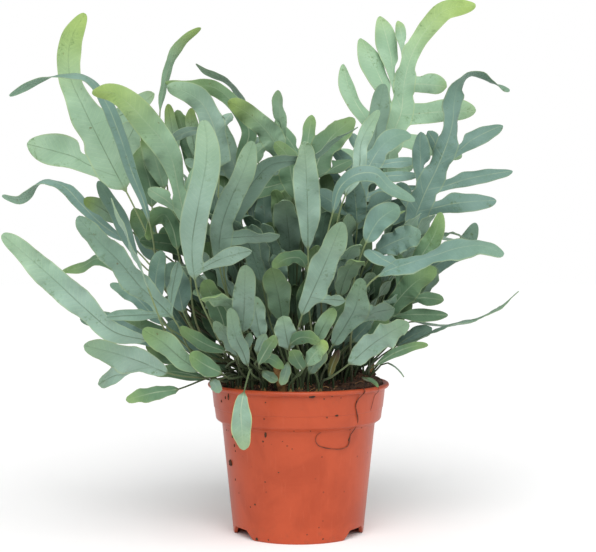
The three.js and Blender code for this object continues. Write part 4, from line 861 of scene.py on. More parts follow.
# %% Rows along a frond
def rows_of(frond):
    """Distances of the rows from the root, and for each pair of lobes its first row, centre and reach."""
    spine = frond["spine"]
    start, blade = spine.start, spine.end - spine.start
    straight = STALK_DEPTH + STALK_STRAIGHT
    rows = [0.0, STALK_DEPTH - 1.0]
    rows += list(np.linspace(straight, start, max(2, round((start - straight) / STALK_STEP))))
    places = [0.0] + [lobe["at"] * blade for lobe in frond["lobes"]] + [blade]
    spans, begin = [], start
    for i, pair in enumerate(frond["lobes"]):
        widest = max(pair[side][1] for side in ("left", "right") if side in pair)
        room = min(places[i + 1] - places[i], places[i + 2] - places[i + 1])
        reach = min(LOBE_SPREAD * widest, room / 2 - LOBE_MARGIN)
        centre = start + places[i + 1]
        count = max(1, round((centre - reach - begin) / BLADE_STEP))
        rows += list(np.linspace(begin, centre - reach, count + 1)[1:])
        spans.append((pair, len(rows) - 1, centre, reach))
        rows += list(centre + reach * ACROSS[1:])
        begin = centre + reach
    count = max(6, round((spine.end - begin) / BLADE_STEP))
    run = 1 - (1 - np.arange(1, count + 1) / count) ** 1.25
    rows += list(begin + (start + blade * REACH - begin) * run)
    return np.array(rows), spans


def margin_wave(frond, t, v):
    """Waves of the margin: nothing at the midrib or the blade's ends, more towards the edge."""
    phase = frond["phase"] + np.where(t > 0, 1.9, 0)
    slow = np.sin(2 * np.pi * frond["waves"] * v + phase)
    quick = 0.22 * np.sin(2 * np.pi * frond["waves"] * 3.3 * v + 2.3 * phase)
    fade = np.sqrt(np.maximum(0, np.sin(np.pi * np.clip(v, 0, 1))))
    narrow = min(1, frond["half"] / BROAD) ** 2
    return RIPPLE * narrow * frond["wavy"] * (slow + quick) * np.abs(t) ** 1.5 * fade


# %% Thickness of a blade
SHEET = 0.2                               # half the thickness of the blade away from the midrib


def thickness(x, t, rib_above, rib_below):
    """How far the two faces stand from the middle sheet: thin, thinner at the edge, with a rib."""
    sheet = SHEET * (1 - 0.4 * np.abs(t) ** 4)
    return sheet + rib_above * np.exp(-(x / 0.55) ** 2), sheet + rib_below * np.exp(-(x / 0.7) ** 2)


def main_section(frond, rows, lobes):
    """Upper and lower points of every row, as (row, side, column, xyz), and their leaf values.

    A stalk's row is a circle, a blade's row is a bowed sheet, and one melts into the other."""
    spine = frond["spine"]
    point, _, N, B = spine.frame(rows)
    v = ((rows - spine.start) / (spine.end - spine.start))[:, None]
    t = ACROSS[None, :]
    side = np.sign(t)
    half = half_width(frond, v, side)
    x = (half + shoulders(lobes, rows[:, None], side) * smooth(v / 0.05)) * t
    lift = -CAMBER * half * t * t + margin_wave(frond, t, v)
    above, below = thickness(x, t, mix(0.42, 0.06, smooth(1.6 * v)), mix(0.42, 0.14, smooth(v)))
    radius = STALK_SLIM * mix(STALK_FOOT, STALK_TOP, np.clip(rows / spine.start, 0, 1))[:, None]
    angle = np.pi * (1 - (np.arange(COLUMNS + 1) + 0.5) / (COLUMNS + 1))[None, :]
    blade = smooth(v / 0.05)
    cross = mix(radius * np.cos(angle), x, blade)
    upper = mix(radius * np.sin(angle), lift + above, blade)
    lower = mix(-radius * np.sin(angle), lift - below, blade)
    middle = point[:, None] + B[:, None] * cross[..., None]
    grid = np.stack([middle + N[:, None] * rise[..., None] for rise in (upper, lower)], axis=1)
    along = np.broadcast_to(rows[:, None] - spine.start, x.shape)
    leaf = np.stack([np.where(blade > 0, x, 0), along, np.abs(t) * np.ones_like(x)], axis=-1)
    return grid, leaf, np.clip(v, 0, 1)[:, 0], blade[:, 0]


print("blades are", 2 * SHEET, "mm thick")

# %% [markdown]
# A lobe leaves the margin at its own angle, bends steadily, droops a little and ends in
# a blunt tip. Summed along a path that turns at an even rate, its way out is a sine and
# a cosine, so the whole lobe can be written down at once without stepping along it.

# %% One lobe
def lobe_section(frond, lobe, root_rows):
    """Points of the lobe's rows after its root, as (row, side, column, xyz), and their leaf values."""
    length, half, angle, bend = lobe["shape"]
    T, N, B = lobe["frame"][1:]
    side, own = lobe["side"], lobe["own"]
    count = max(3, round(length / LOBE_STEP))
    u = (REACH * (1 - (1 - np.arange(1, count + 1) / count) ** 1.25))[:, None]
    begin, turn = math.radians(angle), math.radians(bend)
    heading = begin + turn * u
    if abs(turn) < 1e-6:
        along, out = math.cos(begin) * u, math.sin(begin) * u
    else:
        along = (np.sin(heading) - math.sin(begin)) / turn
        out = (math.cos(begin) - np.cos(heading)) / turn
    droop = frond["droop"] * (1 + LOBE_DROOP * math.sin(own))
    shift = T * along * length + B * out * length * side - N * droop * length * u * u
    forward = unit(T * np.cos(heading) + B * np.sin(heading) * side - N * 2 * droop * u)
    level = unit(np.cross(forward, N))
    rolling = math.cos(own) * u + 0.35 * math.sin(own) * np.sin(2 * np.pi * u)
    roll = math.radians(LOBE_ROLL) * rolling
    across = level * np.cos(roll) + np.cross(forward, level) * np.sin(roll)
    above = np.cross(across, forward)
    t = ACROSS[None, :]
    swell = 1 + LOBE_SWELL * np.sin(5 * u + own + 2.1 * np.sign(t))
    width = np.maximum(half * lobe_share(u) * swell, TIP_HALF)
    free = smooth(u / 0.4)
    x = width * t
    wave = np.sin(6.5 * u + own + np.where(t > 0, 1.9, 0)) + 0.4 * np.sin(17 * u + 2 * own + 2 * t)
    wave = RIPPLE * frond["wavy"] * 0.55 * min(1, length / 30) * wave * np.abs(t) ** 1.5
    lift = -CAMBER * width * t * t + wave * free * np.sin(np.pi * u)
    root = root_rows.mean(axis=1)                     # middle of the margin's wall, per column
    origin = root[COLUMNS // 2] - B * side * SHOULDER * half
    blade = origin + across[:, None] * x[..., None] + above[:, None] * lift[..., None]
    middle = mix(root[None], blade, free[..., None]) + shift[:, None]
    up, down = thickness(x, t * free, 0.04 * free, 0.12 * free)
    grid = np.stack([middle + above[:, None] * rise[..., None] for rise in (up, -down)], axis=1)
    leaf = np.stack([x, np.broadcast_to(length * u, x.shape), np.abs(t) * np.ones_like(x)], axis=-1)
    return grid, leaf, u[:, 0]


# %% Skins: quads of a closed strip of rows
def corners(*slots):
    """Four arrays of corner numbers as rows of quads."""
    return np.stack(np.broadcast_arrays(*slots), axis=-1).reshape(-1, 4)


def strip_quads(count, columns, open_right=(), open_left=(), root_cap=True):
    """Quads of a closed strip: both faces, both edge walls except where open, and the end caps.

    Corner numbers run by row, then upper or lower side, then column."""
    width = columns + 1

    def slot(row, side, column):
        return (row * 2 + side) * width + column

    r, j, last = np.arange(count - 1)[:, None], np.arange(columns)[None, :], columns
    quads = [corners(slot(r, 0, j), slot(r, 0, j + 1), slot(r + 1, 0, j + 1), slot(r + 1, 0, j)),
             corners(slot(r, 1, j), slot(r + 1, 1, j), slot(r + 1, 1, j + 1), slot(r, 1, j + 1))]
    for rows_open, column, order in ((open_right, last, 1), (open_left, 0, -1)):
        wall = np.setdiff1d(np.arange(count - 1), list(rows_open))
        quad = corners(slot(wall, 0, column), slot(wall, 1, column),
                       slot(wall + 1, 1, column), slot(wall + 1, 0, column))
        quads.append(quad[:, ::order])
    j, end = np.arange(columns), count - 1
    quads.append(corners(slot(end, 0, j), slot(end, 0, j + 1), slot(end, 1, j + 1), slot(end, 1, j)))
    if root_cap:
        quads.append(corners(slot(0, 0, j), slot(0, 1, j), slot(0, 1, j + 1), slot(0, 0, j + 1)))
    return np.vstack(quads)


# %% A whole frond
def lobe_line(leaf, lobes, start):
    """Signed distance in mm from the nearest lobe's own rib line, drawn inwards over the blade,
    and how surely a point belongs to it: 1 on the line, 0 from 3 mm away."""
    x, along = leaf[..., 0], leaf[..., 1]
    nearest = np.full(x.shape, 99.0)
    for lobe in lobes:
        a = math.radians(lobe["shape"][2])
        edge = np.abs(x[lobe["first"]:lobe["first"] + COLUMNS + 1]).max()
        reach = along - (lobe["centre"] - start)
        outward = x * lobe["side"]
        line = reach * math.sin(a) - (outward - edge) * math.cos(a)
        line = np.where((outward > 0) & (np.abs(reach) < 3 * edge), line, 99.0)
        nearest = np.where(np.abs(line) < np.abs(nearest), line, nearest)
    return nearest, 1 - smooth(np.abs(nearest) / 3)


def corner_values(leaf, tip, stalk, line, sure, light):
    """Nine values for each corner: leaf = (mm across, mm along, margin), blade = (tip share,
    upper side, stalk) and branch = (mm from a lobe's rib, how surely, brightness from age and painted shade)."""
    shape = (leaf.shape[0], 2, leaf.shape[1])
    by_row = [np.broadcast_to(rows[:, None, None], shape) for rows in (tip, stalk)]
    side = np.broadcast_to(np.array([1.0, 0.0])[None, :, None], shape)
    by_point = [np.repeat(rows[:, None], 2, axis=1) for rows in (leaf, line, sure)]
    singles = [by_row[0], side, by_row[1], by_point[1], by_point[2], light]
    return np.concatenate([by_point[0], np.stack(singles, axis=-1)], axis=-1)


def lobes_of(frond, spans):
    """Each lobe with its side, its rows and the blade's frame there, and an angle of its own
    whose sine and cosine make it droop, roll and swell differently from the others."""
    lobes = []
    for number, (pair, first, centre, reach) in enumerate(spans):
        frame_there = [part[0] for part in frond["spine"].frame(centre)]
        facing = 1 if frame_there[2][1] <= 0 else -1
        for key, side in (("left", -facing), ("right", facing)):
            if key in pair:
                own = 12.9898 * (number + 1) + 78.233 * side + 3 * frond["phase"]
                lobes.append(dict(shape=pair[key], side=side, first=first, centre=centre,
                                  reach=reach, frame=frame_there, own=own))
    return lobes


def age_and_painted_shade(points, young, stalk):
    """How bright the leaf is at points: an older frond is duller, any leaf gets painted shade the deeper
    it lies in an egg round the middle of the crown, and a stalk gets painted shade near the soil."""
    out = np.linalg.norm((points - SHADE_EGG_MIDDLE) / SHADE_EGG_SIZE, axis=-1)
    deep = smooth((1 - out) / PAINTED_SHADE_RUN)
    low = smooth((SOIL_RIM + STALK_SHADE_REACH - points[..., 2]) / STALK_SHADE_REACH) * stalk
    return mix(OLD_BRIGHT, 1, young) * mix(1, PAINTED_SHADE_DEEPEST, deep) * mix(1, STALK_SHADE_KEEP, low)


def frond_skin(frond, young):
    """Points, quads and corner values of one frond with its lobes, as one closed skin."""
    rows, spans = rows_of(frond)
    lobes = lobes_of(frond, spans)
    main, leaf, v, blade = main_section(frond, rows, lobes)
    width = COLUMNS + 1
    ids = np.arange(len(rows) * 2 * width).reshape(len(rows), 2, width)
    opened = {1: [], -1: []}
    for lobe in lobes:
        opened[lobe["side"]] += range(lobe["first"], lobe["first"] + COLUMNS)
    points = [main.reshape(-1, 3)]
    line, sure = lobe_line(leaf, lobes, frond["spine"].start)
    # brightness: the frond's age, times painted shade deep in the crown and low on the stalks
    light = age_and_painted_shade(main, young, 1 - blade[:, None, None])
    patches = [(ids, corner_values(leaf, v, 1 - blade, line, sure, light),
                strip_quads(len(rows), COLUMNS, opened[1], opened[-1]))]
    for lobe in lobes:
        j, first = np.arange(width), lobe["first"]
        root, column = (first + COLUMNS - j, COLUMNS) if lobe["side"] > 0 else (first + j, 0)
        grid, own_leaf, u = lobe_section(frond, lobe, main[root][:, :, column])
        begin = sum(map(len, points))
        new = begin + np.arange(grid[..., 0].size).reshape(grid.shape[:3])
        points.append(grid.reshape(-1, 3))
        whole = np.concatenate([grid[:1], grid])
        own_leaf = np.concatenate([own_leaf[:1] * [1, 0, 1], own_leaf])
        tip = LOBE_TIP_LOW + (1 - LOBE_TIP_LOW) * np.concatenate([[0], u]) * mix(v[first], 1, 0.4)
        empty = np.zeros(own_leaf.shape[:2])
        patches.append((np.concatenate([ids[root, :, column].T[None], new]),
                        corner_values(own_leaf, tip, 0 * tip, empty + 99, empty, age_and_painted_shade(whole, young, 0)),
                        strip_quads(len(tip), COLUMNS, root_cap=False)))
    quads = np.vstack([numbers.reshape(-1)[slots] for numbers, _, slots in patches])
    values = np.vstack([table.reshape(-1, 9)[slots.reshape(-1)] for _, table, slots in patches])
    return np.vstack(points), quads, values


print("skins ready,", COLUMNS, "columns across")

# %% [markdown]
# A blue star fern's leaf is matt and waxy. Its upper side is grey-green to blue-grey,
# its underside paler with a fine dark midrib, and young tips are lime. The finish is a
# small tree of nodes that reads values carried by the leaf itself: how far across and
# along the blade a point lies, which side it is on, and how near the tip. So the
# midrib, the slanted side veins and the pale edge follow every bend of every frond.

# %% The leaf finishes
# upper side, underside and tip, then how much the tip and the edge take their own colours
LEAF_TONES = {
    "blue": (linear(124, 156, 146), linear(142, 172, 156), linear(134, 166, 138), 0.5, 0.4),
    "green": (linear(108, 142, 110), linear(134, 164, 136), linear(138, 168, 106), 0.8, 0.4),
    "lime": (linear(148, 180, 150), linear(158, 188, 160), linear(160, 186, 106), 1.0, 0.4),
    "pale": (linear(146, 174, 158), linear(154, 182, 166), linear(154, 184, 142), 0.6, 0.4),
    "edged": (linear(138, 166, 146), linear(150, 176, 158), linear(160, 182, 128), 0.5, 1.0),
    "old": (linear(128, 120, 62), linear(136, 126, 74), linear(92, 62, 60), 1.0, 0.4),
}
STALK_COLOUR = linear(134, 150, 104)
STALK_FOOT_COLOUR = linear(88, 76, 48)
RIB_UPPER = linear(174, 192, 160)
RIB_UNDER = linear(84, 104, 78)
MARGIN_COLOUR = linear(178, 192, 134)
MOSS_COLOUR = linear(84, 112, 62)
FLECK_COLOUR = linear(104, 92, 50)
# the first tint is what a leaf keeps at its dullest, old and in painted shade
AGE_AND_SHADE_TINT, CLOUD_TINT = (0.0, 0.07, 0.01), (0.64, 0.74, 0.66)  # what the dullest leaf and clouds keep
VEIN_GAP = 3.4                            # mm between side veins


def leaf_finish(tone):
    """Matt waxy leaf in one tone."""
    upper, under, tip_colour, tip_share, edge_share = LEAF_TONES[tone]
    leaf = Finish(f"leaf_{tone}")
    across, along, margin = leaf.carried("leaf")
    tip, side, stalk = leaf.carried("blade")
    # light carries the leaf's brightness: its age and painted shade
    line, sure, light = leaf.carried("branch")
    cloud = leaf.noise(55, 4, 0.55)
    grain = leaf.noise(900, 3, 0.6)
    # both faces, the young tip and the darker clouds
    colour = leaf.blend(side, under, upper)
    colour = leaf.blend(leaf.times(leaf.ramp(tip, 0.45, 1.0), tip_share), colour, tip_colour)
    darker = leaf.tinted(colour, CLOUD_TINT)
    colour = leaf.blend(leaf.ramp(cloud, 0.35, 0.7, 0.45, 0.0), colour, darker)
    # side veins in a slanted comb, and the fine net between them
    from_rib = leaf.maths("ABSOLUTE", across)
    slant = leaf.times_plus(from_rib, -0.8, along)
    comb = leaf.maths("PINGPONG", leaf.times_plus(leaf.noise(260, 2), 1.2, slant), VEIN_GAP / 2)
    veins = leaf.times(leaf.ramp(comb, 0.0, 0.55, 1.0, 0.0), leaf.ramp(margin, 0.6, 0.95, 1.0, 0.0))
    net = leaf.ramp(leaf.cells(520), 0.0, 0.12, 1.0, 0.0)
    paler = leaf.tinted(colour, (1.16, 1.12, 1.05))
    colour = leaf.blend(leaf.times(veins, 0.5), colour, paler)
    colour = leaf.blend(leaf.times(net, 0.10), colour, darker)
    # the midrib and the lobes' ribs, broken here and there, and the pale edge
    rib_colour = leaf.blend(side, RIB_UNDER, RIB_UPPER)
    rib = leaf.ramp(from_rib, 0.12, 0.5, 1.0, 0.0)
    branch = leaf.times(leaf.ramp(leaf.maths("ABSOLUTE", line), 0.05, 0.4, 0.6, 0.0), sure)
    drawn = leaf.times(leaf.maths("MAXIMUM", rib, branch), leaf.ramp(tip, 0.3, 0.95, 0.62, 0.1))
    broken = leaf.ramp(leaf.noise(90, 3), 0.3, 0.6, 0.25, 1.0)
    colour = leaf.blend(leaf.times(drawn, broken), colour, rib_colour)
    colour = leaf.blend(leaf.ramp(margin, 0.86, 1.0, 0.0, edge_share), colour, MARGIN_COLOUR)
    # smudges and flecks on the blade, and the stalk's own colours
    blade = leaf.maths("SUBTRACT", 1.0, stalk)
    smudge = leaf.times(leaf.ramp(leaf.noise(420, 5, 0.65), 0.5, 0.7),
                        leaf.ramp(leaf.noise(60, 2), 0.5, 0.68, 0.0, 0.75))
    colour = leaf.blend(leaf.times(smudge, blade), colour, MOSS_COLOUR)
    flecks = leaf.ramp(leaf.noise(240, 2, 0.4), 0.74, 0.79, 0.0, 0.6)
    colour = leaf.blend(leaf.times(flecks, blade), colour, FLECK_COLOUR)
    foot = leaf.blend(leaf.ramp(along, -120, -10), STALK_FOOT_COLOUR, STALK_COLOUR)
    colour = leaf.blend(stalk, colour, foot)
    # painted shade: leaves deep in the crown and stalks near the soil are darkened, and older fronds are
    # duller
    colour = leaf.blend(light, leaf.tinted(colour, AGE_AND_SHADE_TINT), colour)
    leaf.surface(colour, leaf.times_plus(grain, 0.16, 0.46), specular=0.25)
    leaf.shader.inputs["Sheen Weight"].default_value = 0.06
    leaf.shader.inputs["Sheen Roughness"].default_value = 0.6
    height = leaf.times_plus(veins, -0.35, leaf.times(grain, 0.12))
    height = leaf.times_plus(rib, leaf.times_plus(side, -1.2, 0.8), height)
    leaf.bumps(height, 0.0003, 0.5)
    return leaf.material


LEAVES = {tone: leaf_finish(tone) for tone in LEAF_TONES}
print("leaf finishes:", ", ".join(LEAVES))

# %% [markdown]
# The rhizome that a tuft grows from is a knob covered in golden-brown felt. It is
# shaped as a lumpy egg that stands half in the soil, and its fur is only hinted at by a
# fine, rough relief.

# %% The rhizome finish
def rhizome_finish():
    """Dry golden-brown felt over a dark core."""
    felt = Finish("rhizome_felt")
    fur = felt.noise(1400, 5, 0.7, 0.6)
    colour = felt.blend(fur, linear(84, 56, 30), linear(176, 134, 78))
    worn = felt.ramp(felt.noise(300, 2), 0.45, 0.7, 0.0, 0.6)
    felt.surface(felt.blend(worn, colour, linear(58, 40, 24)), 0.9)
    felt.bumps(fur, 0.0006, 0.9)
    return felt.material


FINISHES = {**LEAVES, "rhizome": rhizome_finish()}
print("finishes:", ", ".join(FINISHES))

# %% [markdown]
# Now the skins become pieces. Each piece replaces one solid of the frame, rides on the
# plant's one body, and stays where the solid is. A tuft's fronds
# and its rhizome are one piece, as they are on the plant.

# %% Meshes from arrays
SHARP_EDGE = math.radians(48)
LEAF_VALUES = ("leaf", "blade", "branch")


def make_piece(name, points, faces, finishes, finish_of=None, values=None):
    """An object in metres from points in mm, with smooth faces, finishes and corner values."""
    mesh = bpy.data.meshes.new(name)
    mesh.from_pydata(metres(points), [], faces)
    for finish in finishes:
        mesh.materials.append(finish)
    if finish_of is not None:
        mesh.polygons.foreach_set("material_index", np.asarray(finish_of, np.int32))
    if values is not None:
        for label, three in zip(LEAF_VALUES, np.split(values.astype(np.float32), 3, axis=1)):
            data = mesh.attributes.new(label, "FLOAT_VECTOR", "CORNER").data
            data.foreach_set("vector", three.ravel())
    mesh.shade_smooth()
    mesh.set_sharp_from_angle(angle=SHARP_EDGE)
    mesh.update()
    return add(name, mesh)


def seat(piece, slot, *nodes):
    """The piece rides on the plant's one body and stands for solids. The slot is not used."""
    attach(piece, "root")
    if nodes:
        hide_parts(*nodes)


SLOTS = {part["node"]: part["material_slot"] for part in frame["record"]["subparts"]}


# %% Closed surfaces from a grid of rows and turns
def ring_quads(rows, turns):
    """Quads between rows of points that go round."""
    r, k = np.arange(rows - 1)[:, None] * turns, np.arange(turns)[None, :]
    beyond = (k + 1) % turns
    return corners(r + k, r + beyond, r + turns + beyond, r + turns + k).tolist()


def tube_faces(rows, turns):
    """Faces of a closed tube: its quads, and one face on its first and its last ring."""
    last = (rows - 1) * turns
    return ring_quads(rows, turns) + [list(range(turns))[::-1], list(range(last, last + turns))]


def merged(parts):
    """Several (points, faces) as one."""
    faces, start = [], 0
    for points, own_faces in parts:
        faces += [[corner + start for corner in face] for face in np.asarray(own_faces, object).tolist()]
        start += len(points)
    return np.vstack([points for points, _ in parts]), faces


def leafy_piece(name, parts, slot, *nodes):
    """One seated piece from several (finish, points, faces, corner values): gives its count of faces."""
    kinds = list(dict.fromkeys(kind for kind, *_ in parts))
    points, faces = merged([(points, faces) for _, points, faces, _ in parts])
    finish_of = [kinds.index(kind) for kind, _, faces, _ in parts for _ in faces]
    values = np.vstack([values for *_, values in parts])
    piece = make_piece(name, points, faces, [FINISHES[kind] for kind in kinds], finish_of, values)
    seat(piece, slot, *nodes)
    return len(faces)


# %% The crown's pieces
YOUTH_SEED = 7000
CENTRE_FROND = 89                         # a frond by rule that stands in front, in the middle
# how bright the fronds look that stand in front, for their age and painted shade together: 0 is dull, 1 is
# bright
YOUTH_AND_SHADE = dict(frond_01=0.95, frond_02=0.75, frond_03=0.8, frond_07=0.6, frond_08=0.8, frond_09=0.25,
             frond_15=1, frond_16=0.4, frond_17=0.25, frond_18=0.9, frond_19=0.6, frond_25=0.75,
             frond_26=0.4, frond_27=0, frond_30=1, frond_31=0.5, frond_32=0.55, frond_36=0.85, tuft_01=0.5)
YOUTH_AND_SHADE[CENTRE_FROND] = 0.85
TONE_SEEN = {"frond_36": "edged", CENTRE_FROND: "pale"}   # where the tone isn't the solid's
STUB_ROUND, STUB_TOP, STUB_DEPTH = 0.9, 3.2, 5.0   # how far a stub goes past its stalks, up and down
STUB_ROWS, STUB_TURNS = 12, 24


def rhizome_stub(group):
    """A lumpy egg round the feet of a tuft's stalks, with empty corner values.

    The radius of its rings follows a sine from pole to pole, pushed out by slow waves."""
    feet = np.array([frond["root"] for frond in group])
    middle, seed = feet.mean(axis=0), group[0]["index"]
    reach = np.linalg.norm(feet - middle, axis=1).max() + STUB_ROUND
    rise = np.linspace(0, np.pi, STUB_ROWS + 2)[1:-1, None]
    turn = even_turns(STUB_TURNS)
    lump = 1 + 0.12 * np.sin(3 * turn + seed) * np.sin(2 * rise) + 0.07 * np.sin(5 * turn + 2 * seed)
    radius = reach * np.sin(rise) ** 0.7 * lump
    height = -np.cos(rise) * (STUB_TOP + STUB_DEPTH) / 2 + (STUB_TOP - STUB_DEPTH) / 2
    ring = round_points(radius, turn, soil_level(*middle) + height, middle)
    faces = tube_faces(STUB_ROWS, STUB_TURNS)
    return ring.reshape(-1, 3), faces, np.zeros((sum(map(len, faces)), 9))


total_faces = 0
for node, group in crown.items():
    parts = []
    for frond in group:
        index = frond["index"]
        tone = TONE_SEEN.get(index, TONE_SEEN.get(node, frond["tone"]))
        young = YOUTH_AND_SHADE.get(index, YOUTH_AND_SHADE.get(node, next(draws(YOUTH_SEED + index))))
        parts.append((tone, *frond_skin(frond, young)))
    if len(group) > 1:
        parts.append(("rhizome", *rhizome_stub(group)))
    total_faces += leafy_piece(f"{node}_leaves", parts, SLOTS[node], node)
print(len(crown), "crown pieces,", total_faces, "faces")

# %% [markdown]
# Between the stalks stand many short young leaves, simple and without lobes. Some are
# placed one by one where the front view shows them or where the crown would be thin,
# and the others are drawn in ranges round the whole crown. They are made by the same
# rules as the fronds, and one piece holds all that share a range.

# %% Young leaves placed one by one
# tone, where it grows, half-width, both ends of its blade in the front view, how far it bows
# aside, and which side it shows where that isn't the upper one
YOUNG = [
    ("green", (-30,-30), 4.4, (226,352,-42), (180,327,-46), 3),
    ("pale", (-42,-26), 3.4, (211,379,-48), (219,393,-46), 1),
    ("blue", (-18,-12), 5.2, (265,332,-22), (252,282,-24), 1, UNDER),
    ("pale", (-14,-38), 3.4, (257,354,-48), (266,334,-52), 1, UNDER),
    ("pale", (-20,-32), 2.6, (247,350,-48), (250,333,-50), 0),
    ("blue", (20,-20), 6, (352,342,-36), (370,322,-40), 0),
    ("green", (30,-26), 4.6, (366,346,-40), (387,316,-44), 0),
    ("green", (12,-30), 5, (322,330,-40), (350,300,-44), 2),
    ("blue", (26,-12), 6.4, (338,312,-24), (331,262,-28), 1),
    ("green", (8,-26), 6, (303,326,-34), (311,276,-36), 1),
    ("blue", (18,-8), 6, (348,268,-12), (366,229,-16), 1),
    ("green", (40,-6), 5.6, (408,300,-8), (434,268,-8), 2),
    ("green", (46,-24), 1.3, (366,378,-50), (378,387,-54), 2),
    ("pale", (44,-20), 0.9, (388,363,-30), (404,377,-34), 2, (0,0,1)),
    ("edged", (6,-44), 4.2, (309,374,-50), (326,352,-54), 1),
    ("blue", (-34,0), 6, (205,305,-2), (186,264,-4), 1),
    ("green", (-26,-6), 6.4, (219,290,-6), (207,242,-6), 1),
    ("green", (-8,-6), 6.4, (262,278,-6), (271,222,-6), 1),
    ("blue", (-36,6), 7, (196,340,8), (166,296,10), 3),
    ("green", (-30,10), 7, (212,332,12), (194,280,16), 2),
    ("blue", (-24,14), 7.5, (230,324,18), (221,272,20), 2),
    ("green", (-44,4), 6, (192,360,6), (146,344,8), 3),
    ("blue", (-40,-8), 6.5, (202,350,-10), (168,322,-12), 2),
    ("green", (-28,-2), 6.5, (222,342,0), (208,298,2), 2),
    ("blue", (-16,8), 7, (246,330,10), (240,284,12), 1),
    ("blue", (30,8), 7, (362,332,10), (380,286,12), 2),
    ("green", (22,12), 7, (346,326,14), (361,274,16), 2),
    ("green", (38,2), 6.5, (382,340,4), (410,298,6), 2),
    ("blue", (34,-6), 6, (368,343,-8), (389,305,-8), 1),
    ("green", (14,8), 7, (326,326,8), (334,274,8), 1),
    ("blue", (44,10), 5, (396,346,14), (432,328,16), 2),
    ("blue", (2,10), 7, (300,326,12), (298,270,12), 1),
    ("blue", (-10,12), 7, (258,240,16), (251,188,20), 2),
    ("green", (-2,14), 6.5, (284,240,18), (290,188,22), 2),
    ("blue", (26,12), 6.5, (384,250,18), (409,214,22), 2),
    ("green", (20,16), 6.5, (346,244,22), (352,200,26), 2),
    ("blue", (-32,12), 6.5, (196,262,16), (176,222,20), 2),
    ("blue", (-34,4), 5.2, (137,258,4), (98,181,6), -2),
    ("lime", (-38,6), 5.4, (122,224,8), (84,199,10), -2, UNDER),
    ("green", (-30,2), 6, (153,250,6), (134,208,8), 1),
    ("lime", (-20,16), 4.6, (176,168,22), (168,104,26), -1, UNDER),
    ("green", (-18,18), 5.6, (197,166,24), (177,110,28), 1),
    ("green", (-44,-14), 4.4, (206,379,-20), (150,371,-24), -3),
    ("green", (-36,8), 6.5, (214,350,10), (196,306,12), 1),
    ("blue", (-32,10), 6.5, (232,352,12), (222,306,14), 1),
    ("green", (-40,-2), 6, (226,372,-2), (196,338,0), 1),
    ("blue", (-30,4), 6, (246,366,4), (236,326,6), 0),
    ("green", (32,6), 7, (374,300,8), (376,256,10), 1),
    ("green", (40,10), 7, (386,318,12), (396,270,14), 1),
    ("blue", (26,4), 6, (340,366,2), (350,330,4), 1),
    ("green", (36,4), 6, (360,368,2), (376,336,4), 1),
    ("green", (10,6), 6, (314,362,4), (318,322,6), 1),
    ("green", (28,10), 6, (330,222,16), (325,172,18), 1),
    ("green", (-18,12), 6, (228,222,16), (224,168,18), 1),
    ("old", (12,-36), 2.6, (329,377,-46), (339,350,-48), 1),
    ("blue", (-6,8), 6.5, (267,240,12), (264,188,14), 1),
    ("edged", (-6,-42), 3.2, (288,362,-52), (281,385,-55), 1),
    ("edged", (-10,-40), 3.2, (262,371,-50), (278,380,-53), -1),
    ("lime", (-24,14), 4.4, (196,158,18), (191,108,20), 1, UNDER),
]
# how many, then from and to: how far from the axis, how much further out, height, half-width
YOUNG_RANGES = {
    "low_young_leaves": (44, (4, 38), (14, 40), (24, 66), (2.8, 4.8)),
    "inner_young_leaves": (64, (2, 40), (16, 54), (46, 122), (4.8, 7.2)),
}
YOUNG_SEED = 3000
BARE_FRONT = 16                           # how much soil the leaves by range leave bare in front
# the young leaves stand among the stalks, and their random brightness is capped low: painted shade
YOUNG_BOW, YOUNG_SHADE_CAP = (50, 105), 0.6  # how far they bow over, and how bright the brightest is


def young_path(root, begin, end, aside):
    """Points of a short leaf's stalk and blade: the blade is a straight run bowed aside by a half sine."""
    s = np.array([0, 1 / 3, 2 / 3, 1])[:, None]
    run = np.array(end, float) - begin
    across = np.array([run[1], -run[0], 0]) / np.hypot(*run[:2])
    blade = place([tuple(point) for point in begin + run * s + across * aside * np.sin(np.pi * s)])
    foot = np.array([*root, soil_level(*root)])
    stalk = foot + (blade[0] - foot) * [0.35, 0.35, 0.6]
    return stalk[None], blade


def grown(spec, root, index):
    """A young leaf's tone, points, faces and corner values, from its path through the crown."""
    frond = prepare(dict(spec, index=index))
    stand(frond, root)
    return frond["tone"], *frond_skin(frond, YOUNG_SHADE_CAP * next(draws(YOUTH_SEED + index)))


placed = []
for i, (tone, root, half, begin, end, aside, *face) in enumerate(YOUNG):
    spec = dict(tone=tone, face=face[0] if face else UPPER, half=half,
                path=young_path(root, begin, end, aside))
    placed.append(grown(spec, root, YOUNG_SEED + i))
face_count = leafy_piece("placed_young_leaves", placed, "leaf_green")
print("placed_young_leaves:", len(placed), "leaves,", face_count, "faces")

# %% Young leaves by range
for name, (count, starts, outs, heights, halves) in YOUNG_RANGES.items():
    young_rng = np.random.default_rng(count)
    leaves = []
    for i in range(count):
        start = math.sqrt(young_rng.uniform(starts[0] ** 2, starts[1] ** 2))
        turn = young_rng.uniform(0, 360)
        start = min(start, BARE_FRONT / max(0.01, -math.sin(math.radians(turn))))
        row = (turn, start + young_rng.uniform(*outs),
               young_rng.uniform(*heights), young_rng.uniform(*YOUNG_BOW), 0)
        seed = YOUNG_SEED + 100 * count + i
        spec = leaning_frond(name, row, start, seed, 1.0)
        spec.update(half=young_rng.uniform(*halves), tone=("green", "blue", "green", "pale")[i % 4])
        leaves.append(grown(spec, spec["root"], seed))
    print(f"{name}: {count} leaves,", leafy_piece(name, leaves, "leaf_green"), "faces")

# %% [markdown]
# The pot is an injection-moulded nursery pot. Such a pot is a turned shape, so its
# profile is carried round the axis. Only the foot isn't turned: three shallow notches
# are cut between three feet so that water can run out. A notch just lifts the lowest
# points of the wall, by an amount that depends on the angle alone. The wall is thin, so
# the profile goes down the outside and up the inside, and the surface closes on itself.

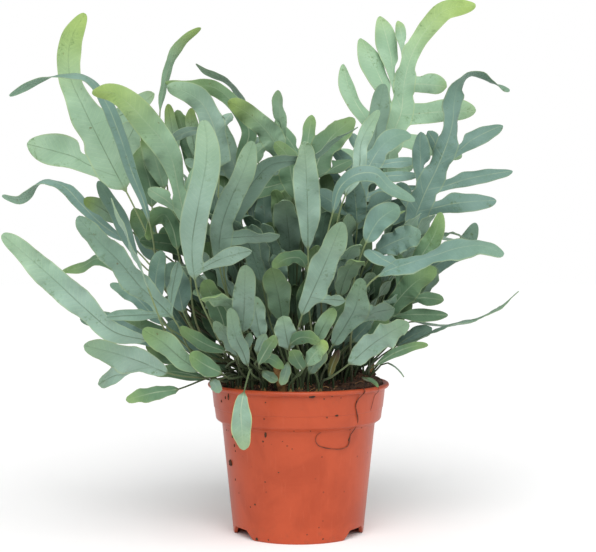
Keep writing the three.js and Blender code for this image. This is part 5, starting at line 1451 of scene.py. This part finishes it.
# %% The pot's profile
WALL, FOOT_WALL = 1.2, 1.8
BODY_TOP, FOOT_RADIUS, LEDGE_BOTTOM = 50.5, 43.0, 72.4
BAND_BOTTOM, BAND_LOW, BAND_TOP, GROOVE = 75.4, 54.75, 57.25, 82.8
LIP, POT_HEIGHT = 60.0, 99.0
BASE_UNDER, BASE_THICK = 5.4, 1.3
NOTCH_TOP, NOTCHES, NOTCH_HALF = 6.0, 3, 13.5
POT_TURNS = 288


def rounded(corner_points, radii, steps=5):
    """A path whose corners are rounded: near each corner the path is a parabola between the runs."""
    path = [np.array(corner_points[0], float)]
    for before, corner, after, radius in zip(corner_points, corner_points[1:], corner_points[2:], radii[1:]):
        before, corner, after = (np.array(p, float) for p in (before, corner, after))
        ins, outs = before - corner, after - corner
        reach = min(radius, 0.45 * np.linalg.norm(ins), 0.45 * np.linalg.norm(outs))
        if reach <= 0:
            path.append(corner)
            continue
        a, b = corner + ins / np.linalg.norm(ins) * reach, corner + outs / np.linalg.norm(outs) * reach
        s = np.linspace(0, 1, steps)[:, None]
        path += list(a * (1 - s) ** 2 + corner * 2 * s * (1 - s) + b * s ** 2)
    path.append(np.array(corner_points[-1], float))
    return np.array(path)


def body_radius(z):
    """The body's outer radius: a straight taper from the foot to the ledge."""
    return FOOT_RADIUS + (BODY_TOP - FOOT_RADIUS) * z / LEDGE_BOTTOM


floor_top = BASE_UNDER + BASE_THICK
OUTSIDE = [
    ((0.01, BASE_UNDER), 0), ((FOOT_RADIUS - FOOT_WALL - 0.4, BASE_UNDER), 1.0),
    ((FOOT_RADIUS - FOOT_WALL, BASE_UNDER - 1.2), 0.4), ((FOOT_RADIUS - FOOT_WALL, 0.05), 0.4),
    ((FOOT_RADIUS, 0), 0.7), ((body_radius(NOTCH_TOP + 2), NOTCH_TOP + 2), 0),
    ((body_radius(30), 30), 0), ((body_radius(52), 52), 0), ((BODY_TOP, LEDGE_BOTTOM), 1.0),
    ((BAND_LOW - 0.3, BAND_BOTTOM - 0.2), 0.9), ((BAND_LOW + 0.7, GROOVE - 0.5), 0.3),
    ((BAND_LOW + 0.72, GROOVE - 0.1), 0.2), ((BAND_LOW + 1.08, GROOVE + 0.25), 0.3),
    ((BAND_TOP, POT_HEIGHT - 3.3), 0.5), ((LIP - 0.8, POT_HEIGHT - 3.0), 0.9),
    ((LIP, POT_HEIGHT - 1.6), 0.9), ((LIP - 0.7, POT_HEIGHT - 0.3), 0.8),
    ((LIP - 1.9, POT_HEIGHT), 0.7), ((BAND_TOP - WALL - 0.3, POT_HEIGHT - 0.9), 0.8),
    ((BAND_TOP - WALL, POT_HEIGHT - 3.4), 0.6), ((BAND_LOW - WALL, BAND_BOTTOM + 0.6), 0.8),
    ((BODY_TOP - WALL, LEDGE_BOTTOM + 0.4), 0.8), ((body_radius(floor_top) - WALL, floor_top), 2.0),
    ((0.01, floor_top), 0),
]
profile = rounded([point for point, _ in OUTSIDE], [radius for _, radius in OUTSIDE])
print(len(profile), "points round the pot's wall")

# %% The pot's surface


def notch_lift(angle):
    """How far the foot is lifted at an angle: flat in a notch, sloping at 45 degrees to nothing beside it."""
    pitch = 2 * np.pi / NOTCHES
    off = np.abs((angle - np.pi / 2 + pitch / 2) % pitch - pitch / 2) * FOOT_RADIUS
    return np.clip(NOTCH_HALF - off, 0, NOTCH_TOP)


def pot_points(profile):
    """The profile carried round the axis, with the foot's lowest points lifted in the notches."""
    angle = even_turns(POT_TURNS)
    radius, height = profile[:, :1], profile[:, 1:]
    foot = (radius > FOOT_RADIUS - FOOT_WALL - 0.2) & (height < NOTCH_TOP)
    lift = np.where(foot, np.maximum(0, notch_lift(angle) - height), 0)
    outer = radius > FOOT_RADIUS - 0.5 * FOOT_WALL
    radius = radius + np.where(outer, lift * (BODY_TOP - FOOT_RADIUS) / LEDGE_BOTTOM, 0)
    return round_points(radius, angle, height + lift)


print("three notches lift the foot by", NOTCH_TOP, "mm")

# %% [markdown]
# The plastic is thin terracotta-coloured polypropylene, half glossy. Its colour is even
# but not flat: it has faint flow clouds from the mould, drag marks down the wall,
# scuffs, and dried soil that clings under the lip, on the ledge and round the foot.

# %% The pot's finish
POT_COLOUR = linear(181, 76, 43)
POT_DEEP = linear(167, 67, 36)
POT_SCUFF = linear(192, 96, 66)
POT_DUST = linear(128, 70, 48)
SOIL_DARK = linear(50, 35, 24)


def pot_finish():
    """Half-glossy moulded plastic with flow clouds, drag marks, scuffs and clinging soil."""
    plastic = Finish("pot_plastic")
    centred = plastic.node("Mapping", {"Vector": plastic.place, "Location": tuple(-AXIS)}).outputs[0]
    x, y, z = plastic.node("SeparateXYZ", [centred]).outputs
    # drag marks: noise that is stretched down the wall
    turn = plastic.times(plastic.maths("ARCTAN2", y, x), 0.05)
    down = plastic.node("CombineXYZ", (turn, 0.0, plastic.times(z, 0.16))).outputs[0]
    drag = plastic.noise(420, 5, 0.6, where=down)
    cloud = plastic.noise(34, 4, 0.6, 0.5, centred)
    colour = plastic.blend(plastic.ramp(cloud, 0.35, 0.68), POT_COLOUR, POT_DEEP)
    colour = plastic.blend(plastic.ramp(drag, 0.56, 0.75, 0.0, 0.28), colour, POT_SCUFF)
    # a film of dried soil near the foot and under the lip
    dust = plastic.noise(170, 6, 0.72, where=centred)
    low, high = plastic.ramp(z, 0.0, 0.018, 0.5, 0.0), plastic.ramp(z, 0.080, 0.097, 0.0, 0.35)
    film = plastic.times(plastic.ramp(dust, 0.5, 0.72), plastic.maths("ADD", low, high))
    colour = plastic.blend(film, colour, POT_DUST)
    # specks of soil, only where a second noise is high
    specks = plastic.ramp(plastic.cells(210, "F1", centred), 0.10, 0.16, 1.0, 0.0)
    specks = plastic.times(specks, plastic.ramp(plastic.noise(60, 2, where=centred), 0.55, 0.66))
    colour = plastic.blend(plastic.times(specks, 0.85), colour, SOIL_DARK)
    covered = plastic.times(plastic.maths("MAXIMUM", film, specks), 0.8)
    rough = plastic.maths("MAXIMUM", plastic.times_plus(drag, 0.22, 0.26), covered)
    plastic.surface(colour, rough, specular=0.32)
    height = plastic.maths("ADD", plastic.times(cloud, 0.8), plastic.times(specks, 0.5))
    plastic.bumps(plastic.times_plus(drag, 0.35, height), 0.0004, 0.35)
    return plastic.material


POT_FINISH = pot_finish()
print("finish:", POT_FINISH.name)

# %% The pot, with its drain holes cut
DRAINS, DRAIN_RADIUS, DRAIN_CIRCLE, DRAIN_TURNS = 6, 3.2, 27.0, 32
PLUG_ENDS, POT_SHARP = np.array([[1.0], [9.5]]), math.radians(32)


def drain_plugs():
    """Upright tubes at even angles, longer than the base is thick, as one closed mesh."""
    plugs = []
    for k in range(DRAINS):
        a = math.radians(30 + 360 * k / DRAINS)
        middle = DRAIN_CIRCLE * math.cos(a), DRAIN_CIRCLE * math.sin(a)
        rings = round_points(DRAIN_RADIUS, even_turns(DRAIN_TURNS), PLUG_ENDS, middle)
        plugs.append((rings.reshape(-1, 3), tube_faces(2, DRAIN_TURNS)))
    return merged(plugs)


def cut(piece, tool_points, tool_faces):
    """Cuts a tool's volume out of a piece for good and removes the tool."""
    mesh = bpy.data.meshes.new("tool")
    mesh.from_pydata(metres(tool_points), [], tool_faces)
    tool = add("tool", mesh)
    step = piece.modifiers.new("cut", "BOOLEAN")
    step.object, step.operation, step.solver = tool, "DIFFERENCE", "EXACT"
    graph = bpy.context.evaluated_depsgraph_get()
    finished = bpy.data.meshes.new_from_object(piece.evaluated_get(graph))
    piece.modifiers.clear()
    old, piece.data = piece.data, finished
    finished.name = piece.name
    bpy.data.meshes.remove(old)
    bpy.data.objects.remove(tool)
    bpy.data.meshes.remove(mesh)
    finished.shade_smooth()
    finished.set_sharp_from_angle(angle=POT_SHARP)


surface = pot_points(profile)
pot = make_piece("pot_shell", surface.reshape(-1, 3), tube_faces(len(profile), POT_TURNS), [POT_FINISH])
cut(pot, *drain_plugs())
seat(pot, "pot_plastic", "pot")
print("pot:", len(pot.data.polygons), "faces")

# %% [markdown]
# The soil is damp peat with bark crumbs and pale fibres, filled to the rim. Its top is
# a surface of rings whose height is the low dome of the solid plus three sizes of
# lumps. The lumps come from noise on a lattice: fixed random heights at whole numbers,
# joined by smooth steps, added up at finer and finer sizes. The body of the root ball
# goes down to the pot's floor, so the piece is closed.

# %% Lattice noise
def lattice_noise(x, y, seed):
    """Random heights at whole x and y, from -1 to 1, with a smooth step between neighbours."""
    table = np.random.default_rng(seed).uniform(-1, 1, (256, 256))
    i, j = np.floor(x).astype(int), np.floor(y).astype(int)
    u, v = smooth(x - i), smooth(y - j)
    corner = [[table[(i + a) % 256, (j + b) % 256] for b in (0, 1)] for a in (0, 1)]
    return mix(mix(corner[0][0], corner[1][0], u), mix(corner[0][1], corner[1][1], u), v)


HEAP_PLACE, HEAP_SIZE, HEAP_TALL = (43, -14), (14, 26), 9   # where the peat is heaped at the right


def peat_height(x, y):
    """The soil's level with a bell-shaped heap, and lumps of about 7, 3 and 1.4 mm that get weaker."""
    off = [((at - middle) / size) ** 2 for at, middle, size in zip((x, y), HEAP_PLACE, HEAP_SIZE)]
    heap = HEAP_TALL * np.exp(-off[0] - off[1])
    lumps = 0.9 * lattice_noise(x / 7, y / 7, 1) + 0.75 * lattice_noise(x / 3.1, y / 3.1, 2)
    fine = 0.4 * lattice_noise(x / 1.4, y / 1.4, 3)
    return soil_level(x, y) + heap + lumps + np.abs(fine)


# %% The root ball
SOIL_GAP, SOIL_TURNS, SOIL_RINGS = 0.45, 240, 78


def wall_inside(z):
    """The pot's inner radius at a height."""
    band = BAND_LOW + (BAND_TOP - BAND_LOW) * (z - BAND_BOTTOM) / (POT_HEIGHT - 3.2 - BAND_BOTTOM)
    return np.where(z > BAND_BOTTOM, band, body_radius(z)) - WALL


bottom = floor_top + SOIL_GAP
edge = wall_inside(SOIL_RIM) - SOIL_GAP
side = [(0.5, bottom), (wall_inside(bottom) - 3, bottom), (wall_inside(bottom + 2) - SOIL_GAP, bottom + 2),
        (BODY_TOP - WALL - SOIL_GAP, LEDGE_BOTTOM), (BAND_LOW - WALL - SOIL_GAP - 0.2, BAND_BOTTOM + 2),
        (edge, SOIL_RIM - 3)]
rings = np.array(side + [(r, SOIL_RIM) for r in np.linspace(edge, 0.5, SOIL_RINGS)])
soil_points = round_points(rings[:, :1], even_turns(SOIL_TURNS), rings[:, 1:])
top = soil_points[len(side):]
top[..., 2] = peat_height(top[..., 0], top[..., 1])
print("root ball from", round(bottom, 2), "to", round(float(top[..., 2].max()), 2), "mm")

# %% The peat's finish
def peat_finish():
    """Dark damp peat: brown clods, nearly black pits, and short orange-brown fibres."""
    peat = Finish("peat")
    clod = peat.noise(330, 5, 0.65, 0.4)
    fine = peat.noise(1900, 4, 0.7)
    colour = peat.blend(peat.ramp(clod, 0.34, 0.66), linear(30, 20, 14), linear(86, 58, 38))
    fibre = peat.ramp(peat.noise(800, 2, 0.5, 3.0), 0.60, 0.68, 0.0, 0.55)
    colour = peat.blend(fibre, colour, linear(146, 92, 54))
    pale = peat.ramp(peat.cells(420, "F1"), 0.05, 0.12, 0.5, 0.0)
    pale = peat.times(pale, peat.ramp(fine, 0.5, 0.6))
    peat.surface(peat.blend(pale, colour, linear(176, 150, 118)), 0.93)
    peat.bumps(peat.times_plus(fine, 0.5, clod), 0.0012, 0.9)
    return peat.material


PEAT = peat_finish()
ball_faces = tube_faces(len(rings), SOIL_TURNS)
seat(make_piece("root_ball", soil_points.reshape(-1, 3), ball_faces, [PEAT]), "soil", "soil")
print("root ball:", len(ball_faces), "faces")

# %% [markdown]
# Loose crumbs of bark and peat lie on the soil, with fine dry fibres among them. Each
# crumb has few faces, because there are hundreds: it is a small egg pushed out of
# shape, turned at random and pressed a little into the ground. A fibre is a thin tube
# along a low arch.

# %% Crumbs
CRUMBS, CRUMB_SHAPE, CRUMB_SEED = 620, (3, 6), 41


def egg(rows, turns):
    """A unit ball of a few rings, with a pole at each end."""
    rise = np.linspace(-np.pi / 2, np.pi / 2, rows + 2)[1:-1, None]
    ring = round_points(np.cos(rise), even_turns(turns), np.sin(rise)).reshape(-1, 3)
    faces, low = ring_quads(rows, turns), rows * turns
    for k in range(turns):
        faces.append([low, (k + 1) % turns, k])
        faces.append([low + 1, low - turns + k, low - turns + (k + 1) % turns])
    return np.vstack([ring, [[0, 0, -1], [0, 0, 1]]]), faces


def copies(shapes, faces):
    """One (points, faces) from many shapes with the same faces, given as (shape, corner, xyz)."""
    step = shapes.shape[1]
    every = [[corner + step * n for corner in face] for n in range(len(shapes)) for face in faces]
    return shapes.reshape(-1, 3), every


def turned(count, rng):
    """Random right-angled turns of space, one for each crumb: the square part of random numbers."""
    turns, _ = np.linalg.qr(rng.normal(size=(count, 3, 3)))
    flip = np.linalg.det(turns) < 0
    turns[flip, :, 0] *= -1
    return turns


def crumbs(places, sizes, rng):
    """Eggs stretched, roughened and turned at random, one at each place."""
    unit_egg, faces = egg(*CRUMB_SHAPE)
    count = len(places)
    rough = rng.uniform(0.72, 1.28, (count, len(unit_egg), 1))
    stretch = rng.uniform(0.55, 1.25, (count, 1, 3))
    shapes = np.einsum("nij,nkj->nki", turned(count, rng), unit_egg[None] * rough * stretch)
    return copies(shapes * sizes[:, None, None] + places[:, None], faces)


def scattered(count, reach, rng):
    """Places on the soil, even over the disc within a radius."""
    radius = np.sqrt(rng.uniform(0, reach ** 2, count))
    turn = rng.uniform(0, 2 * np.pi, count)
    spots = round_points(radius, turn, 0.0)
    spots[:, 2] = peat_height(spots[:, 0], spots[:, 1])
    return spots


crumb_rng = np.random.default_rng(CRUMB_SEED)
sizes = crumb_rng.uniform(0.35, 1.0, CRUMBS) ** 2 * 2.0 + 0.25
crumb_mesh = crumbs(scattered(CRUMBS, edge - 1.5, crumb_rng), sizes, crumb_rng)
seat(make_piece("soil_crumbs", *crumb_mesh, [PEAT]), "soil")
print(CRUMBS, "crumbs,", len(crumb_mesh[1]), "faces")

# %% Tubes along a path
def tube(path, radii, turns=5):
    """Rings round a path, square to it, with a radius for each point: (points, faces)."""
    path = np.asarray(path, float)
    way = unit(np.gradient(path, axis=0))
    aside = unit(np.cross(way, np.where(np.abs(way[:, 2:]) > 0.9, (1.0, 0, 0), (0, 0, 1.0))))
    above = np.cross(aside, way)
    turn = even_turns(turns)[..., None]
    ring = above[:, None] * np.sin(turn) + aside[:, None] * np.cos(turn)
    points = path[:, None] + ring * np.asarray(radii, float)[:, None, None]
    return points[:, ::-1].reshape(-1, 3), tube_faces(len(path), turns)


def two_tone(name, scale, detail, ends, dark, light, rough):
    """A dry finish in two colours that change slowly from place to place."""
    finish = Finish(name)
    share = finish.ramp(finish.noise(scale, detail), *ends)
    finish.surface(finish.blend(share, dark, light), rough)
    return finish.material


print("tubes and two-toned finishes ready")

# %% Fibres
FIBRES, FIBRE_SEED, FIBRE_SINK = 170, 43, 0.3


def fibre(place, rng):
    """A low arch that starts and ends in the soil, bent aside in the middle."""
    length, turn, bend = rng.uniform(4, 13), rng.uniform(0, 2 * np.pi), rng.uniform(-0.4, 0.4)
    s = np.linspace(-0.5, 0.5, 7)
    along, aside = length * s, length * bend * (0.25 - s * s)
    x = place[0] + along * math.cos(turn) - aside * math.sin(turn)
    y = place[1] + along * math.sin(turn) + aside * math.cos(turn)
    x, y = np.stack([x, y]) * np.minimum(1, (edge - 1) / np.maximum(np.hypot(x, y), 1))
    z = peat_height(x, y) + rng.uniform(0.5, 1.6) * (1 - (2 * s) ** 2) - FIBRE_SINK
    return tube(np.stack([x, y, z], axis=-1), np.full(7, rng.uniform(0.12, 0.3)), 4)


FIBRE = two_tone("dry_fibre", 70, 2, (0.35, 0.65), linear(96, 60, 36), linear(178, 136, 88), 0.8)
fibre_rng = np.random.default_rng(FIBRE_SEED)
fibres = merged([fibre(start, fibre_rng) for start in scattered(FIBRES, edge - 4, fibre_rng)])
seat(make_piece("soil_fibres", *fibres, [FIBRE]), "soil")
print(FIBRES, "fibres")

# %% Rhizome tips
# where each stands, which way its tip leans, its height above the soil and its radius
RHIZOME_TIPS = [((-10, -43), (-5, 1), 17, 3.3), ((44, 16), (7, 3), 12, 2.8), ((-34, 32), (-6, 5), 14, 3.0)]


def rhizome_tip(spot, lean, tall, radius):
    """A furry shoot out of the soil: a bent tube whose end closes like a ball."""
    s = np.linspace(0, 1, 17)
    x, y = spot[0] + lean[0] * s ** 2, spot[1] + lean[1] * s ** 2
    path = np.stack([x, y, soil_level(*spot) - 4 + (tall + 4) * s], axis=-1)
    ball = np.sqrt(1 - np.clip((s - 0.8) / 0.2, 0, 0.995) ** 2)
    return tube(path, radius * (1 - 0.25 * s) * (1 + 0.08 * np.sin(19 * s)) * ball, 14)


tips = merged([rhizome_tip(*row) for row in RHIZOME_TIPS])
seat(make_piece("rhizome_tips", *tips, [FINISHES["rhizome"]]), "soil")
print(len(RHIZOME_TIPS), "rhizome tips")

# %% [markdown]
# A thin root has grown over the rim. It hangs down the outside of the pot, has a small
# knot, and curls back in a loose loop. Soil has dried on the plastic in specks, with
# one crumb stuck at the left. All of these touch the wall: a place is named in the
# front view, and the eye's ray through it is followed until it meets the pot.

# %% Places on the pot's wall
POT_DEPTHS = np.linspace(-64, 0, 1281)    # depths tried along a ray, from the front to the axis
outer = profile[(profile[:, 0] > FOOT_RADIUS - 0.1)]
outer = outer[:int(np.argmax(outer[:, 1])) + 1]


def pot_radius(z):
    """The pot's outer radius at a height."""
    order = np.argsort(outer[:, 1], kind="stable")
    return np.interp(z, outer[order, 1], outer[order, 0])


def on_pot(view_points, lift=0.0):
    """Where the eye's rays through front-view points first meet the pot, lifted off it in mm."""
    points = np.atleast_2d(np.array(view_points, float))
    spots = on_ray(points[:, :1], points[:, 1:], POT_DEPTHS)
    inside = np.hypot(spots[..., 0], spots[..., 1]) <= pot_radius(spots[..., 2])
    met = spots[np.arange(len(points)), np.argmax(inside, axis=1)]
    met[:, :2] *= (1 + lift / np.hypot(met[:, 0], met[:, 1]))[:, None]
    return met


print("pot radius at half height:", round(float(pot_radius(50.0)), 2))

# %% The hanging roots
LONG_RADIUS, SHORT_RADIUS = 0.38, 0.22
LONG_ROOT = [(363, 393.5), (357.7, 399.4), (355.5, 404), (356.4, 413), (357.5, 419.7), (355, 427.5),
             (349.9, 435.4), (349.2, 440), (347.3, 445.8), (342.7, 448.4), (332.2, 448.8), (323.8, 447.4),
             (317.9, 445), (315.5, 440.6), (316.6, 435.4), (320.5, 432.5)]
SHORT_ROOT = [(374.3, 395.5), (372.8, 401), (370.2, 410.5)]


def hanging_root(view_points, radius):
    """From the soil over the lip and down the wall, along a smooth curve, thinner to the end."""
    down = on_pot(view_points, radius + 0.1)
    across = down[0, :2] / np.hypot(*down[0, :2])
    over = [(*(across * r), z) for r, z in
            ((50.0, SOIL_RIM + 0.6), (54.0, SOIL_RIM + 3.5), (57.4, POT_HEIGHT + radius),
             (59.4, POT_HEIGHT + radius * 0.7), (LIP + radius + 0.1, POT_HEIGHT - 1.7))]
    at, length, _ = curve_through(np.vstack([over, down]))
    share = length / length[-1]
    wobble = 1 + 0.25 * np.sin(40 * share) * np.sin(17 * share + 1)
    return tube(at, radius * mix(1.0, 0.5, share) * wobble, 6)


ROOT_FINISH = two_tone("dry_root", 300, 3, (0.35, 0.7), linear(70, 34, 22), linear(128, 66, 42), 0.7)
roots = merged([hanging_root(LONG_ROOT, LONG_RADIUS), hanging_root(SHORT_ROOT, SHORT_RADIUS)])
seat(make_piece("hanging_roots", *roots, [ROOT_FINISH]), "soil")
print("hanging roots:", len(roots[1]), "faces")

# %% Soil stuck to the wall
# place in the front view, width and height in mm
SPECKS = [
    (231,463,2.3,2.4), (228.5,396.5,0.9,2.2), (225.5,397.5,0.7,1.2), (221.5,401,0.6,1.1),
    (265.5,434.5,0.8,1.9), (263,441.5,0.7,0.7), (232.5,436.5,0.8,1.2),
    (234.5,445.5,0.7,1.0), (235.5,451,0.5,0.6), (235.5,479.5,0.5,0.8), (265,482,0.6,0.5),
    (255,504.5,0.7,0.7), (278.5,472.5,0.5,0.5), (265.5,402.5,0.5,0.5), (264,419,0.5,0.5),
    (337,415.5,1.3,0.6), (327,417.5,0.6,0.5), (310.5,431,0.5,0.5), (294,431,0.4,0.4),
    (282.5,441.5,0.4,0.4), (292,449,0.4,0.5), (322,457,0.4,0.4), (312.5,396.5,2.4,1.0),
    (324,399,0.5,0.5), (332,396.5,0.4,0.4), (341,398,0.4,0.4), (257,539,1.2,0.9),
    (268.5,540,0.5,0.6), (323,539,0.6,0.6), (349,439.5,0.9,1.5), (361.5,427.5,0.5,0.5),
    (226.5,430,0.5,0.6), (239,493,0.4,0.4),
]
BEHIND_SPECKS, SPECK_SHAPE, SPECK_SEED = 46, (4, 8), 47
SPECK_THICK = 1.6                         # the most that a speck stands out


def wall_specks(rng):
    """Flat eggs pressed on the wall: the named ones in front, and more at random round the back."""
    front = on_pot([speck[:2] for speck in SPECKS])
    turn = rng.uniform(0.05 * np.pi, 0.95 * np.pi, BEHIND_SPECKS)
    z = 8 + 88 * rng.uniform(0, 1, BEHIND_SPECKS) ** 0.7
    places = np.vstack([front, round_points(pot_radius(z), turn, z)])
    small = rng.uniform(0.25, 1.0, (BEHIND_SPECKS, 2)) ** 1.5
    wide, tall = np.vstack([[speck[2:] for speck in SPECKS], small]).T
    thick = np.minimum(np.minimum(wide, tall) * 0.6, SPECK_THICK)
    outward = unit(places * [1, 1, 0])
    aside = np.cross([0, 0, 1], outward)
    unit_egg, faces = egg(*SPECK_SHAPE)
    shape = unit_egg[None] * rng.uniform(0.7, 1.25, (len(places), len(unit_egg), 1))
    points = (places[:, None] + outward[:, None] * shape[..., 2:] * thick[:, None, None]
              + aside[:, None] * shape[..., :1] * wide[:, None, None]
              + np.array([0, 0, 1.0]) * shape[..., 1:2] * tall[:, None, None])
    return copies(points, faces)


speck_mesh = wall_specks(np.random.default_rng(SPECK_SEED))
seat(make_piece("soil_specks", *speck_mesh, [PEAT]), "soil")
print(len(SPECKS) + BEHIND_SPECKS, "specks of soil on the wall")

# %% [markdown]
# Last, the dressed plant is measured against the box of its solids, and both boxes
# are printed.

# %% Measure and finish
SEEN_BOX = [list(corner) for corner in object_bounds()]
for label, corner_pair in (("solids", CAD_BOX), ("dressed", SEEN_BOX)):
    print(label, [[round(c * 1000, 1) for c in corner] for corner in corner_pair], "mm")
